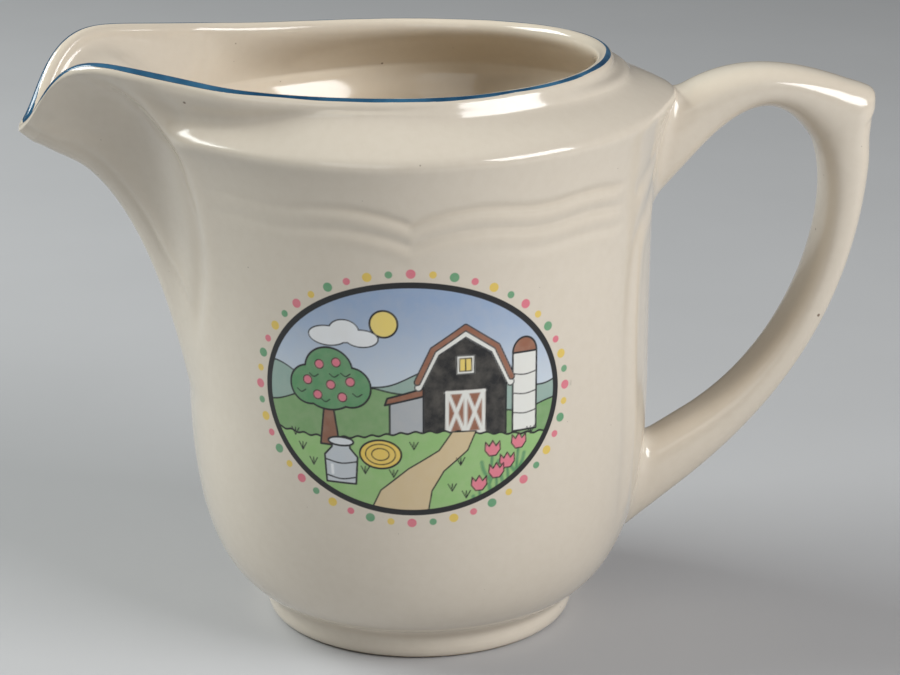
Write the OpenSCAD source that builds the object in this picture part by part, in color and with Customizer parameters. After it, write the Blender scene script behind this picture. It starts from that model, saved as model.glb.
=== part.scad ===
// Creamer jug in glazed stoneware: a round pot with a V spout, a spurred handle and a turned foot.
// Millimetres. The jug stands on z = 0 with its axis on Z, the spout towards -X and the handle towards +X.
// Angles round the jug are counted from the spout: 90 is the decorated side (-Y), 180 the handle.

/* [Body] */
// Height of the rim at the sides of the jug
rim_height = 102; // [92:1:114]
// Radius of the belly
belly_radius = 41.2; // [38:0.2:45]
// Height at which the bowl turns into the upright wall
belly_height = 44; // [38:1:50]
// Radius of the shoulder's edge
shoulder_radius = 43.4; // [41.4:0.2:47]
// Height from the shoulder's edge to the rim at the sides
neck_height = 7.6; // [6:0.2:10]
// Radius of the underside, where the bowl meets the foot
base_radius = 28; // [25:0.5:31]
// Thickness of the cast wall and floor
wall = 4; // [3:0.25:5]

/* [Rim] */
// Outer radius of the mouth at the sides
mouth_radius = 33.6; // [30:0.2:36]
// Thickness of the rounded lip
lip = 3; // [2.4:0.2:4]
// How much higher the rim is at the handle than at the sides
handle_side_rise = 1.2; // [0:0.2:3]

/* [Spout] */
// Distance from the jug's axis to the tip of the spout
spout_reach = 69.6; // [62:0.2:76]
// How much higher the rim is beside the lip than at the sides
spout_rise = 5.4; // [3:0.2:8]
// Depth of the dip in the rim at the tip of the spout
spout_dip = 14.5; // [10:0.5:17]
// How far the lip's point is trimmed back where the rim dips
spout_trim = 9; // [6:0.5:12]
// How far the lip stands out past the spout's throat
lip_overhang = 2.8; // [2:0.2:5]
// Height of the lip above the throat
lip_height = 3.8; // [3:0.2:5]

/* [Handle] */
// Distance from the jug's axis to the tip of the thumb spur
handle_reach = 82; // [76:1:90]
// How far the top of the handle's arch stays below the rim at the sides
handle_drop = 4; // [0:0.5:10]
// Height of the handle's lower edge where it meets the bowl
handle_foot = 16; // [13:0.5:19]
// Width of the handle strap
handle_width = 11; // [8:0.5:14]

/* [Foot] */
// Height of the foot ring
foot_height = 5.2; // [4:0.2:7]
// Outer radius of the foot ring at the table
foot_radius = 27.4; // [24:0.2:30]
// Width of the flat face that the jug stands on
foot_land = 3; // [2:0.2:4]

/* [Decoration] */
// Width of the painted line on the rim
line_width = 1.3; // [0.8:0.1:1.8]
// Width of the printed picture, measured round the wall
picture_width = 60; // [46:1:64]
// Height of the printed picture
picture_height = 48; // [40:1:52]
// Gap between the swag's point and the picture
picture_gap = 2.1; // [1:0.1:6]
// Distance of the upper swag line below the rim at the sides
swag_below = 16.4; // [14:0.2:20]
// Drop of the swag's point below the line
swag_drop = 3; // [1:0.2:4]
// Width of one swag bead
bead_width = 1.8; // [1.2:0.1:2.2]

/* [Hidden] */

ivory = [0.90, 0.87, 0.80];
bare_clay = [0.84, 0.78, 0.68];
cobalt = [0.12, 0.35, 0.55];
print_green = [0.45, 0.62, 0.42];

// Paint and print lie this far off the wall, and this thick
paint_gap = 0.1;
paint_depth = 0.25;
bead_gap = 0.1;
// Relief of a swag bead, and the gap between two beads
bead_relief = 0.6;
bead_space = 0.8;
swag_height = rim_height - swag_below;
swag_low = swag_height - swag_drop - bead_width - bead_space - bead_width / 2;
picture_centre = swag_low - picture_gap - picture_height / 2;
// How far a slip joint spreads past the strap's sides where it meets the wall
slip_spread = 1.8;
// How far the lower slip joint reaches past the end of the strap's outline, into the bowl
slip_bury = 11.5;
handle_top = rim_height - handle_drop;
// Depth behind the wall from which the arch's outlines spring
arch_outer_seat = 1.4;
arch_inner_seat = 0.1;
foot_bevel = 0.5;
foot_flare = 0.3;

// Columns run round the jug and crowd towards the spout
columns = 80;
crowding_share = 0.55;
spout_columns = 10;
column_order_share = 0.4;
bowl_rows = 7;
wall_rows = 13;
neck_rows = 6;
lip_rows = 3;
last_row = bowl_rows + wall_rows + neck_rows;
spout_row = bowl_rows + 1;
under_row = bowl_rows + wall_rows - 2;
loop = 2 * (last_row + 1) + lip_rows;
middle_column = columns / 2;
spout_start = middle_column - spout_columns;
spout_end = middle_column + spout_columns;

// Spread of the rim's rises and of the spout, in degrees
spout_rise_angle = 33;
spout_dip_angle = 8.7;
handle_rise_angle = 60;
rim_nose_angle = 23;
shoulder_nose_angle = 14;
throat_nose_angle = 9;
nose_end_angle = 110;
nose_soft_angle = 0.7;
nose_power = 1.3;
flare_power = 6;

// Control points of the curves, as shares of the sizes that they follow
bowl_out_shares = [0, 0.72, 1, 1];
bowl_up_shares = [0, 0.10, 0.46, 1];
keel_out_shares = [0, 0.035, 0.385, 1];
keel_up_shares = [0, 0.267, 0.925, 1];
neck_in_shares = [0, 0.30, 1, 1];
neck_up_shares = [0, 0.58, 0.38, 1];
inside_in_shares = [0, 0, 1, 1];
inside_up_shares = [0, 0.45, 0.55, 1];

// The handle's outline: shares across from the belly to the spur and up from its lower edge to its top
arch_outer_shares = [[0.02, 0.925], [0.30, 1.03], [0.62, 1.02], [1, 0.945]];
arch_inner_shares = [[0.045, 0.73], [0.315, 0.92], [0.515, 0.985], [0.748, 0.842]];
strap_outer_shares = [[1, 0.945], [1.045, 0.55], [0.745, 0.235], [-0.03, -0.015]];
strap_inner_shares = [[0.748, 0.842], [0.926, 0.683], [0.68, 0.305], [0.075, 0.18]];
arch_steps = 14;
strap_steps = 20;
arch_start_share = 0.14;
strap_end_share = 0.93;
upper_slip_share = -0.16;
lower_slip_share = 1 + slip_bury / (handle_top - handle_foot);
slip_steps = 4;
corner_steps = 4;
corner_share = 0.72;

// The decorated side's middle lies a little towards the spout
picture_angle = 80;
swag_angle = 80;
swag_spread = 9;
swag_start = 34;
swag_end = 146;
swag_steps = 40;
bead_sides = 6;
picture_spokes = 56;
picture_rings = 9;
solve_steps = 20;

// Curves
function bezier(p, t) =
    pow(1 - t, 3) * p[0] + 3 * t * pow(1 - t, 2) * p[1] + 3 * t * t * (1 - t) * p[2] + pow(t, 3) * p[3];
function bell(a, width) = exp(-pow(a / width, 2));
function unit(v) = v / norm(v);
function polar(a, r, z) = [-r * cos(a), -r * sin(a), z];

// Time at which a rising curve of shares reaches a value
function reach_time(shares, value, low = 0, high = 1, steps = solve_steps) =
    let (middle = (low + high) / 2)
    steps == 0 ? middle
    : bezier(shares, middle) < value ? reach_time(shares, value, middle, high, steps - 1)
    : reach_time(shares, value, low, middle, steps - 1);

// Share of the spout's reach at an angle, 1 on the spout's middle line
function nose_raw(a, width) = 1 / (1 + pow(a / width, nose_power));
function nose(a, width) =
    let (soft = sqrt(a * a + nose_soft_angle * nose_soft_angle) - nose_soft_angle)
    let (tail = nose_raw(nose_end_angle, width))
    max(0, (nose_raw(soft, width) - tail) / (1 - tail));

// The saddle of the rim and the edge of the shoulder under it
function rim_z(a) =
    rim_height + spout_rise * bell(a, spout_rise_angle) - spout_dip * bell(a, spout_dip_angle)
    + handle_side_rise * bell(180 - abs(a), handle_rise_angle);
function rim_radius(a) =
    mouth_radius + (spout_reach + spout_trim - mouth_radius) * nose(a, rim_nose_angle)
    - spout_trim * bell(a, spout_dip_angle);
function shoulder_z(a) =
    rim_z(a) - neck_height + (neck_height - lip_height) * nose(a, shoulder_nose_angle);

// Radius and height on the outside of the bowl, the wall and the neck
function bowl_point(t) = [
    base_radius + (belly_radius - base_radius) * bezier(bowl_out_shares, t),
    foot_height + (belly_height - foot_height) * bezier(bowl_up_shares, t)
];
function wall_radius(a, t) =
    let (up = bezier(keel_up_shares, t))
    let (round = belly_radius + (shoulder_radius - belly_radius) * pow(up, flare_power))
    let (keel = belly_radius + (spout_reach - lip_overhang - belly_radius) * bezier(keel_out_shares, t))
    let (width = throat_nose_angle + (shoulder_nose_angle - throat_nose_angle) * t)
    round + (keel - round) * nose(a, width);
function wall_z(a, t) = belly_height + (shoulder_z(a) - belly_height) * bezier(keel_up_shares, t);
function neck_point(a, t) =
    let (edge = [wall_radius(a, 1), wall_z(a, 1)])
    let (rim = [rim_radius(a), rim_z(a) - lip / 2])
    [edge[0] + (rim[0] - edge[0]) * bezier(neck_in_shares, t),
     edge[1] + (rim[1] - edge[1]) * bezier(neck_up_shares, t)];

function outer_point(a, row) =
    let (wall_time = (row - bowl_rows) / wall_rows)
    let (neck_time = (row - bowl_rows - wall_rows) / neck_rows)
    let (p = row <= bowl_rows ? bowl_point(row / bowl_rows)
         : wall_time <= 1 ? [wall_radius(a, wall_time), wall_z(a, wall_time)]
         : neck_point(a, neck_time))
    polar(a, p[0], p[1]);

// A point on the upright wall at a given height, pushed out by a lift
function on_wall(a, z, lift) =
    let (bowl_time = reach_time(bowl_up_shares, (z - foot_height) / (belly_height - foot_height)))
    let (up = (z - belly_height) / (shoulder_z(a) - belly_height))
    let (r = z < belly_height ? bowl_point(bowl_time)[0] : wall_radius(a, reach_time(keel_up_shares, up)))
    polar(a, r + lift, z);

// The shell: an outer skin, a round lip and an inner skin that follows the outer one at the wall's thickness
function column_angle(c) =
    let (u = 2 * c / columns - 1)
    180 * (crowding_share * u + (1 - crowding_share) * pow(u, 3));
column_angles = [for (c = [0:columns - 1]) column_angle(c)];
outer_skin = [for (a = column_angles) [for (row = [0:last_row]) outer_point(a, row)]];
function around(c) = (c + columns) % columns;
function along(c, row) = outer_skin[around(c + 1)][row] - outer_skin[around(c - 1)][row];
function upward(c, row) = outer_skin[c][min(row + 1, last_row)] - outer_skin[c][max(row - 1, 0)];
function skin_normal(c, row) = unit(cross(along(c, row), upward(c, row)));
function rim_normal(c) = unit(cross(along(c, last_row), [0, 0, 1]));
function lip_point(c, turn, radius) =
    outer_skin[c][last_row] - lip / 2 * rim_normal(c)
    + radius * (cos(turn) * rim_normal(c) + sin(turn) * [0, 0, 1]);

// Behind the sharp nose of the spout the columns of the inner skin keep their order
function in_order(c, p) =
    let (a = column_angles[c])
    let (side = a < 0 ? -1 : 1)
    let (turn = max(column_order_share * abs(a), side * atan2(-p[1], -p[0])))
    in_spout(c) ? polar(side * turn, norm([p[0], p[1]]), p[2]) : p;
function inside_wall(c, row) = in_order(c, outer_skin[c][row] - wall * skin_normal(c, row));

// Under the shoulder the inner skin leaves the outer one and curves in to the lip
function inside_neck(c, row) =
    let (t = (row - under_row) / (last_row - under_row))
    let (low = inside_wall(c, under_row))
    let (high = in_order(c, lip_point(c, 180, lip / 2)))
    let (inward = bezier(inside_in_shares, t))
    [low[0] + (high[0] - low[0]) * inward,
     low[1] + (high[1] - low[1]) * inward,
     low[2] + (high[2] - low[2]) * bezier(inside_up_shares, t)];
function inner_point(c, row) = row <= under_row ? inside_wall(c, row) : inside_neck(c, row);
function column_loop(c) = concat(
    outer_skin[c],
    [for (i = [1:lip_rows]) lip_point(c, 180 * i / (lip_rows + 1), lip / 2)],
    [for (row = [last_row:-1:0]) inner_point(c, row)]);
floor_height = inner_point(0, 0)[2];
underside_index = columns * loop;
floor_index = underside_index + 1;
shell_points = concat(
    [for (c = [0:columns - 1]) each column_loop(c)],
    [[0, 0, foot_height], [0, 0, floor_height]]);

// Faces of the shell, wound clockwise as seen from outside
function at(c, k) = around(c) * loop + k;
function patch(c, k, next) = [
    [at(c, k), at(c, next), at(c + 1, next)],
    [at(c, k), at(c + 1, next), at(c + 1, k)]
];
function inner_index(row) = loop - 1 - row;
function flipped(faces) = [for (f = faces) [f[2], f[1], f[0]]];
function cut_face(c) = concat(
    [for (row = [spout_row:last_row - 1])
        each [[at(c, row), at(c, row + 1), at(c, inner_index(row + 1))],
              [at(c, row), at(c, inner_index(row + 1)), at(c, inner_index(row))]]],
    [for (k = [last_row:last_row + lip_rows - 1])
        [at(c, k), at(c, k + 1), at(c, inner_index(last_row))]]);
function in_spout(c) = c >= spout_start && c < spout_end;
function wall_strip(c) = in_spout(c)
    ? concat(
        [for (k = [0:spout_row - 1]) each patch(c, k, k + 1)],
        patch(c, spout_row, inner_index(spout_row)),
        [for (k = [inner_index(spout_row):loop - 2]) each patch(c, k, k + 1)])
    : [for (k = [0:loop - 2]) each patch(c, k, k + 1)];
body_faces = concat(
    [for (c = [0:columns - 1]) each wall_strip(c)],
    [for (c = [0:columns - 1]) [underside_index, at(c, 0), at(c + 1, 0)]],
    [for (c = [0:columns - 1]) [floor_index, at(c + 1, loop - 1), at(c, loop - 1)]],
    cut_face(spout_start),
    flipped(cut_face(spout_end)));
spout_faces = concat(
    [for (c = [spout_start:spout_end - 1]) each concat(
        [for (k = [spout_row:inner_index(spout_row) - 1]) each patch(c, k, k + 1)],
        flipped(patch(c, spout_row, inner_index(spout_row))))],
    flipped(cut_face(spout_start)),
    cut_face(spout_end));

// A closed sweep through rings that all have the same number of points
module sweep(rings) {
    sides = len(rings[0]);
    last = len(rings) - 1;
    polyhedron(
        points = [for (ring = rings) each ring],
        faces = concat(
            [for (i = [0:last - 1]) for (s = [0:sides - 1]) let (n = (s + 1) % sides) each
                [[i * sides + s, i * sides + n, (i + 1) * sides + n],
                 [i * sides + s, (i + 1) * sides + n, (i + 1) * sides + s]]],
            [for (s = [1:sides - 2]) [0, s + 1, s]],
            [for (s = [1:sides - 2]) [last * sides, last * sides + s, last * sides + s + 1]]));
}

// The handle: rounded sections between an inner and an outer outline
function handle_height(share) = handle_foot + (handle_top - handle_foot) * share;
function handle_place(share, root) =
    [root + (handle_reach - root) * share[0], 0, handle_height(share[1])];

// An outline of the arch springs from the wall at its own height
function arch_root(shares, seat, t) =
    let (start = on_wall(180, handle_height(shares[0][1]), -seat)[0])
    belly_radius + (1 - t) * (start - belly_radius);
function arch_place(shares, seat, t) = handle_place(bezier(shares, t), arch_root(shares, seat, t));
function handle_section(inner, outer, width) =
    let (half = norm(outer - inner) / 2)
    let (across = unit(outer - inner))
    let (corner = corner_share * min(half, width / 2))
    [for (quarter = [0:3]) for (step = [0:corner_steps])
        let (turn = 90 * (quarter + step / corner_steps))
        let (side_x = quarter == 0 || quarter == 3 ? 1 : -1)
        let (side_y = quarter < 2 ? 1 : -1)
        (inner + outer) / 2
        + (side_x * (half - corner) + corner * cos(turn)) * across
        + (side_y * (width / 2 - corner) + corner * sin(turn)) * [0, 1, 0]];
function arch_section(t, width) = handle_section(
    arch_place(arch_inner_shares, arch_inner_seat, t),
    arch_place(arch_outer_shares, arch_outer_seat, t), width);
function strap_section(t, width) = handle_section(
    handle_place(bezier(strap_inner_shares, t), belly_radius),
    handle_place(bezier(strap_outer_shares, t), belly_radius), width);

// A slip joint carries the strap on into the wall and widens on the way
function slip_width(i) = handle_width + 2 * slip_spread * pow(i / slip_steps, 2);

// The pot's outside as a filled block, on the handle's half only
module filled_half() {
    half = [for (c = [-columns / 4:columns / 4]) around(c)];
    wide = len(half);
    high = last_row + 1;
    axis_low = wide * high;
    polyhedron(
        points = concat(
            [for (c = half) each outer_skin[c]],
            [[0, 0, foot_height], [0, 0, rim_height]]),
        faces = concat(
            [for (c = [0:wide - 2]) for (row = [0:last_row - 1]) let (k = c * high + row) each
                [[k, k + 1, k + high + 1], [k, k + high + 1, k + high]]],
            [for (c = [0:wide - 2]) [axis_low, c * high, (c + 1) * high]],
            [for (c = [0:wide - 2]) [axis_low + 1, (c + 1) * high + last_row, c * high + last_row]],
            [for (row = [0:last_row - 1]) [axis_low, row + 1, row]],
            [[axis_low, axis_low + 1, last_row]],
            [for (row = [0:last_row - 1]) let (k = (wide - 1) * high + row) [axis_low, k, k + 1]],
            [[axis_low, (wide - 1) * high + last_row, axis_low + 1]]));
}

module body() {
    color(ivory)
        polyhedron(points = shell_points, faces = body_faces);
}

module spout() {
    color(ivory)
        polyhedron(points = shell_points, faces = spout_faces);
}

module foot_ring() {
    color(bare_clay)
        rotate_extrude($fn = 96)
            polygon([
                [foot_radius - foot_bevel - foot_land, 0],
                [foot_radius - foot_bevel, 0],
                [foot_radius, foot_bevel],
                [foot_radius + foot_flare, foot_height],
                [foot_radius - foot_bevel - foot_land - foot_bevel, foot_height],
                [foot_radius - foot_bevel - foot_land - foot_bevel, foot_bevel]]);
}

module handle() {
    color(ivory)
        sweep(concat(
            [for (i = [0:arch_steps])
                arch_section(arch_start_share + (1 - arch_start_share) * i / arch_steps, handle_width)],
            [for (i = [1:strap_steps]) strap_section(strap_end_share * i / strap_steps, handle_width)]));
}

module upper_handle_slip() {
    color(ivory)
        difference() {
            sweep([for (i = [slip_steps:-1:0])
                arch_section(arch_start_share + (upper_slip_share - arch_start_share) * i / slip_steps,
                             slip_width(i))]);
            filled_half();
        }
}

module lower_handle_slip() {
    color(ivory)
        difference() {
            sweep([for (i = [0:slip_steps])
                strap_section(strap_end_share + (lower_slip_share - strap_end_share) * i / slip_steps,
                              slip_width(i))]);
            filled_half();
        }
}

// Two beads a side that run level under the shoulder and dip to a point at the picture's middle
function swag_z(a) = swag_height - swag_drop * exp(-abs(abs(a) - swag_angle) / swag_spread);
function bead_ring(a, drop) = [for (s = [0:bead_sides - 1])
    let (turn = 180 * s / (bead_sides - 1))
    on_wall(a, swag_z(a) - drop - bead_width / 2 * cos(turn), bead_gap + bead_relief * sin(turn))];

module swag_relief() {
    color(ivory)
        for (side = [0, 1], line = [0, 1])
            mirror([0, side, 0])
                sweep([for (i = [0:swag_steps])
                    bead_ring(swag_start + (swag_end - swag_start) * i / swag_steps,
                              line * (bead_width + bead_space))]);
}

// The painted line lies on the outer side of the lip
line_turn = line_width / (lip / 2) * 180 / PI;
line_start_turn = 12;
line_steps = 3;
function line_ring(c) = concat(
    [for (i = [0:line_steps])
        lip_point(c, line_start_turn + line_turn * i / line_steps, lip / 2 + paint_gap)],
    [for (i = [line_steps:-1:0])
        lip_point(c, line_start_turn + line_turn * i / line_steps, lip / 2 + paint_gap + paint_depth)]);

module rim_line() {
    sides = 2 * (line_steps + 1);
    color(cobalt)
        polyhedron(
            points = [for (c = [0:columns - 1]) each line_ring(c)],
            faces = [for (c = [0:columns - 1]) for (s = [0:sides - 1])
                let (n = (s + 1) % sides)
                let (d = around(c + 1))
                each [[c * sides + s, d * sides + s, d * sides + n],
                      [c * sides + s, d * sides + n, c * sides + n]]]);
}

// The print is an oval patch that follows the wall
degrees_per_length = 180 / (PI * belly_radius);
function picture_point(spoke, ring, lift) =
    let (turn = 360 * spoke / picture_spokes)
    let (share = ring / picture_rings)
    on_wall(picture_angle + picture_width / 2 * degrees_per_length * share * cos(turn),
            picture_centre + picture_height / 2 * share * sin(turn), lift);

module picture() {
    layer = picture_spokes * picture_rings + 1;
    function spot(side, ring, spoke) =
        side * layer + (ring == 0 ? 0 : 1 + (ring - 1) * picture_spokes + spoke % picture_spokes);
    function disc(side) = concat(
        [for (s = [0:picture_spokes - 1]) [spot(side, 0, 0), spot(side, 1, s), spot(side, 1, s + 1)]],
        [for (ring = [1:picture_rings - 1]) for (s = [0:picture_spokes - 1]) each
            [[spot(side, ring, s), spot(side, ring + 1, s), spot(side, ring + 1, s + 1)],
             [spot(side, ring, s), spot(side, ring + 1, s + 1), spot(side, ring, s + 1)]]]);
    color(print_green)
        polyhedron(
            points = [for (lift = [paint_gap, paint_gap + paint_depth]) each concat(
                [picture_point(0, 0, lift)],
                [for (ring = [1:picture_rings]) for (s = [0:picture_spokes - 1])
                    picture_point(s, ring, lift)])],
            faces = concat(
                disc(0),
                flipped(disc(1)),
                [for (s = [0:picture_spokes - 1])
                    let (low = spot(0, picture_rings, s))
                    let (low_next = spot(0, picture_rings, s + 1))
                    each [[low, low + layer, low_next + layer], [low, low_next + layer, low_next]]]));
}

body();
spout();
foot_ring();
handle();
upper_handle_slip();
lower_handle_slip();
swag_relief();
rim_line();
picture();
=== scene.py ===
"""Looks of the creamer jug: glazed pot, handle, turned foot, painted rim line and printed picture.

Sizes are in millimetres in the jug's frame (foot centre on the table, spout towards -X, picture
towards -Y) until a mesh is made, which takes metres. Angles go round the jug from the spout.
"""
import logging
from dataclasses import dataclass
from enum import Enum
from typing import Sequence

import bpy
import numpy as np
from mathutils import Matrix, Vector
from numpy.typing import NDArray


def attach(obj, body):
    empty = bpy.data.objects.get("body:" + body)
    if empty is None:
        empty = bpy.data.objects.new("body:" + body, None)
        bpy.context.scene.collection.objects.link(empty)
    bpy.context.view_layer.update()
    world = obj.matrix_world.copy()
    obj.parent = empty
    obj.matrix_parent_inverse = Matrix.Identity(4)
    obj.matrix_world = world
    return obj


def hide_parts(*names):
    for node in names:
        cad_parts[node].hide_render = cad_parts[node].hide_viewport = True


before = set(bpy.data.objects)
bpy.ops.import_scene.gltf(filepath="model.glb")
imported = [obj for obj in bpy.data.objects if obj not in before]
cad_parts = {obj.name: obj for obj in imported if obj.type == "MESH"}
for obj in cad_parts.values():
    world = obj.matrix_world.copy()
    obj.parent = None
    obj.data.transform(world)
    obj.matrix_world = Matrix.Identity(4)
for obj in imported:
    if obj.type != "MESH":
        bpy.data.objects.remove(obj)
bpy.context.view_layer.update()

Array = NDArray[np.float64]
Blur = tuple[float, float]
Colour = tuple[float, float, float]
Controls = tuple[float, float, float, float]
Course = Sequence[tuple[float, float]]
Fillet = tuple[float, float, float]
Place = tuple[float, float, float]
Socket = bpy.types.NodeSocket
Span = tuple[float, float]
Specks = tuple[float, float, float]
Swell = tuple[float, float, float]
Wave = tuple[float, int, float]

LOG = logging.getLogger("creamer")
MM = 0.001
UP = np.array([0.0, 0.0, 1.0])
# Points of a curve that is read between them, and steps of a search by halving.
FINE = 400
HALVINGS = 30
# Most of a noise's values lie between these.
NOISE_SPAN = (0.3, 0.7)


class Slot(Enum):
    """The record's finishes."""

    GLAZE = "ivory_glaze"
    CLAY = "bare_clay"
    LINE = "cobalt_line"
    PRINT = "transfer_print"


def bell(x: Array, width: float) -> Array:
    """Bell curve: e to the power of minus the square of x over its width."""
    return np.exp(-((np.asarray(x, float) / width) ** 2))


def ease(low: float, high: float, x: Array) -> Array:
    """Smooth step from 0 at low to 1 at high: three squares less two cubes of the share."""
    share = np.clip((np.asarray(x, float) - low) / (high - low), 0.0, 1.0)
    return share * share * (3.0 - 2.0 * share)


def swells(x: Array, parts: Sequence[Swell]) -> Array:
    """Sum of bell curves, each given by its size, its place and its width."""
    return sum(size * bell(x - place, width) for size, place, width in parts)


def waves(phase: Array, parts: Sequence[Wave]) -> Array:
    """Sum of sine waves, each given by its size, its turns in one round and its start."""
    return sum(size * np.sin(turns * phase + start) for size, turns, start in parts)


def between(span: Sequence, share: Array) -> Array:
    """Value at a share of the way through a span."""
    return span[0] + (span[1] - span[0]) * share


def stepped(start: float, stretches: Sequence[tuple[float, int]]) -> Array:
    """Even steps along stretches, each given by its end and its count of steps."""
    out = [np.array([start])]
    for end, count in stretches:
        out.append(np.linspace(out[-1][-1], end, count + 1)[1:])
    return np.concatenate(out)


def unit(vectors: Array) -> Array:
    """Vectors on the last axis, brought to length 1."""
    return vectors / np.linalg.norm(vectors, axis=-1, keepdims=True)


def distance(line: Array) -> Array:
    """Distance of each point of a line from its start, along the line."""
    return np.concatenate([[0], np.cumsum(np.linalg.norm(np.diff(line, axis=0), axis=1))])


def cubic(controls: Sequence, t: Array) -> Array:
    """Cubic Bezier curve.

    Args:
        controls: Four numbers or four points.
        t: Places along the curve, from 0 to 1.

    Returns:
        The control values weighted by the four Bernstein polynomials of t.
    """
    t = np.asarray(t, float)[..., None]
    weights = np.concatenate(
        [(1 - t) ** 3, 3 * t * (1 - t) ** 2, 3 * t**2 * (1 - t), t**3], -1
    )
    return weights @ np.asarray(controls, float)


def through(points: Course, count: int) -> Array:
    """Smooth line through given points.

    Args:
        points: The points in order.
        count: How many points the line gets.

    Returns:
        A Catmull-Rom spline: each span is a cubic whose end slopes are half the step between
        the neighbours of its ends.
    """
    p = np.asarray(points, float)
    p = np.vstack([2 * p[0] - p[1], p, 2 * p[-1] - p[-2]])
    place = np.linspace(0.0, len(p) - 3 - 1e-9, count)
    span = place.astype(int)
    t = (place - span)[:, None]
    a, b, c, d = p[span], p[span + 1], p[span + 2], p[span + 3]
    bend = (2 * a - 5 * b + 4 * c - d) * t**2 + (3 * b - a - 3 * c + d) * t**3
    return 0.5 * (2 * b + (c - a) * t + bend)


def off_course(course: Array, u: Array, v: Array) -> tuple[Array, Array, Array]:
    """How points lie beside a line of short steps.

    Args:
        course: The line's points.
        u: First coordinate of the points.
        v: Second coordinate of the points.

    Returns:
        The distance to the nearest step, its side (1 on the left of the way along the line, -1 on
        the right) and the share of the line that lies before the nearest place.
    """
    best = np.full(np.shape(u), np.inf)
    side = np.zeros(np.shape(u))
    share = np.zeros(np.shape(u))
    steps = len(course) - 1
    for k in range(steps):
        start, way = course[k], course[k + 1] - course[k]
        t = np.clip(((u - start[0]) * way[0] + (v - start[1]) * way[1]) / (way @ way), 0, 1)
        du, dv = u - start[0] - t * way[0], v - start[1] - t * way[1]
        gap = np.hypot(du, dv)
        near = gap < best
        best = np.where(near, gap, best)
        side = np.where(near, np.sign(way[0] * dv - way[1] * du), side)
        share = np.where(near, (k + t) / steps, share)
    return best, side, share


def blur_rows(points: Array, length: Array, spread: Array) -> Array:
    """Rounds a line of rows.

    Args:
        points: Rows of points, first axis along the line.
        length: Distance of each row along the line.
        spread: How far each row is blurred, along the line.

    Returns:
        Each row as the mean of its neighbours, weighted by a bell curve of their distance and by
        the stretch of line that each stands for.
    """
    stretch = np.gradient(length)
    gap = length[None, :] - length[:, None]
    weights = bell(gap / spread[:, None], np.sqrt(2.0)) * stretch[None, :]
    weights /= weights.sum(1, keepdims=True)
    return np.tensordot(weights, points, axes=(1, 0))


def srgb(red: float, green: float, blue: float) -> Colour:
    """Linear colour of display values from 0 to 255, by the standard curve of a screen."""
    c = np.array([red, green, blue], float) / 255.0
    out = np.where(c <= 0.04045, c / 12.92, ((c + 0.055) / 1.055) ** 2.4)
    return (float(out[0]), float(out[1]), float(out[2]))


def grid_quads(rows: int, columns: int, wrap_rows: bool = False, wrap: bool = True) -> NDArray:
    """Quads of a grid of points stored row by row.

    Args:
        rows: Rows of points.
        columns: Points in a row.
        wrap_rows: Whether the last row joins the first.
        wrap: Whether the last column joins the first.

    Returns:
        Four point numbers for each quad.
    """
    r = np.arange(rows if wrap_rows else rows - 1)
    c = np.arange(columns if wrap else columns - 1)
    r, c = np.meshgrid(r, c, indexing="ij")
    below, beside = (r + 1) % rows, (c + 1) % columns
    corners = [r * columns + c, r * columns + beside, below * columns + beside, below * columns + c]
    return np.stack(corners, -1).reshape(-1, 4)


def end_fans(rows: int, columns: int) -> NDArray:
    """Triangles that close a grid's first and last row to two poles, stored after its points."""
    ring = np.arange(columns)
    beside, pole = (ring + 1) % columns, np.full(columns, rows * columns)
    first = np.stack([beside, ring, pole], -1)
    start = (rows - 1) * columns
    last = np.stack([start + ring, start + beside, pole + 1], -1)
    return np.concatenate([first, last])


def put(
    name: str, data: bpy.types.ID, place: Place = (0.0, 0.0, 0.0), way: Vector | None = None
) -> bpy.types.Object:
    """Adds an object to the scene.

    Args:
        name: The object's name.
        data: Its mesh, lamp or camera.
        place: Where it is, in metres.
        way: Where a lamp or camera looks.

    Returns:
        The new object.
    """
    out = bpy.data.objects.new(name, data)
    out.location = place
    if way is not None:
        out.rotation_euler = way.to_track_quat("-Z", "Y").to_euler()
    bpy.context.scene.collection.objects.link(out)
    return out


def make_piece(
    name: str, points: Array, quads: NDArray, triangles: NDArray | None = None
) -> bpy.types.Object:
    """Puts points and faces into a smooth-shaded mesh object at the origin.

    Args:
        name: The piece's name.
        points: Points in millimetres.
        quads: Four point numbers for each quad.
        triangles: Three point numbers for each triangle.

    Returns:
        The new object.
    """
    triangles = np.zeros((0, 3), int) if triangles is None else triangles
    corners = np.concatenate([quads.ravel(), triangles.ravel()]).astype(np.int32)
    sizes = np.concatenate([np.full(len(quads), 4), np.full(len(triangles), 3)])
    starts = np.concatenate([[0], np.cumsum(sizes)[:-1]]).astype(np.int32)
    mesh = bpy.data.meshes.new(name)
    mesh.vertices.add(len(points))
    mesh.vertices.foreach_set("co", (points * MM).astype(np.float32).ravel())
    mesh.loops.add(len(corners))
    mesh.loops.foreach_set("vertex_index", corners)
    mesh.polygons.add(len(sizes))
    mesh.polygons.foreach_set("loop_start", starts)
    mesh.polygons.foreach_set("use_smooth", np.ones(len(sizes), bool))
    mesh.update(calc_edges=True)
    mesh.validate()
    return put(name, mesh)


def paint_values(piece: bpy.types.Object, name: str, values: Array) -> None:
    """Stores one number for each point of a piece, for its material to read."""
    attribute = piece.data.attributes.new(name, "FLOAT", "POINT")
    attribute.data.foreach_set("value", values.astype(np.float32).ravel())


def paint_colours(piece: bpy.types.Object, name: str, colours: Array) -> None:
    """Stores one linear colour for each point of a piece, for its material to read."""
    solid = np.concatenate([colours, np.ones(colours.shape[:-1] + (1,))], -1)
    attribute = piece.data.attributes.new(name, "FLOAT_COLOR", "POINT")
    attribute.data.foreach_set("color", solid.astype(np.float32).ravel())


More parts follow.
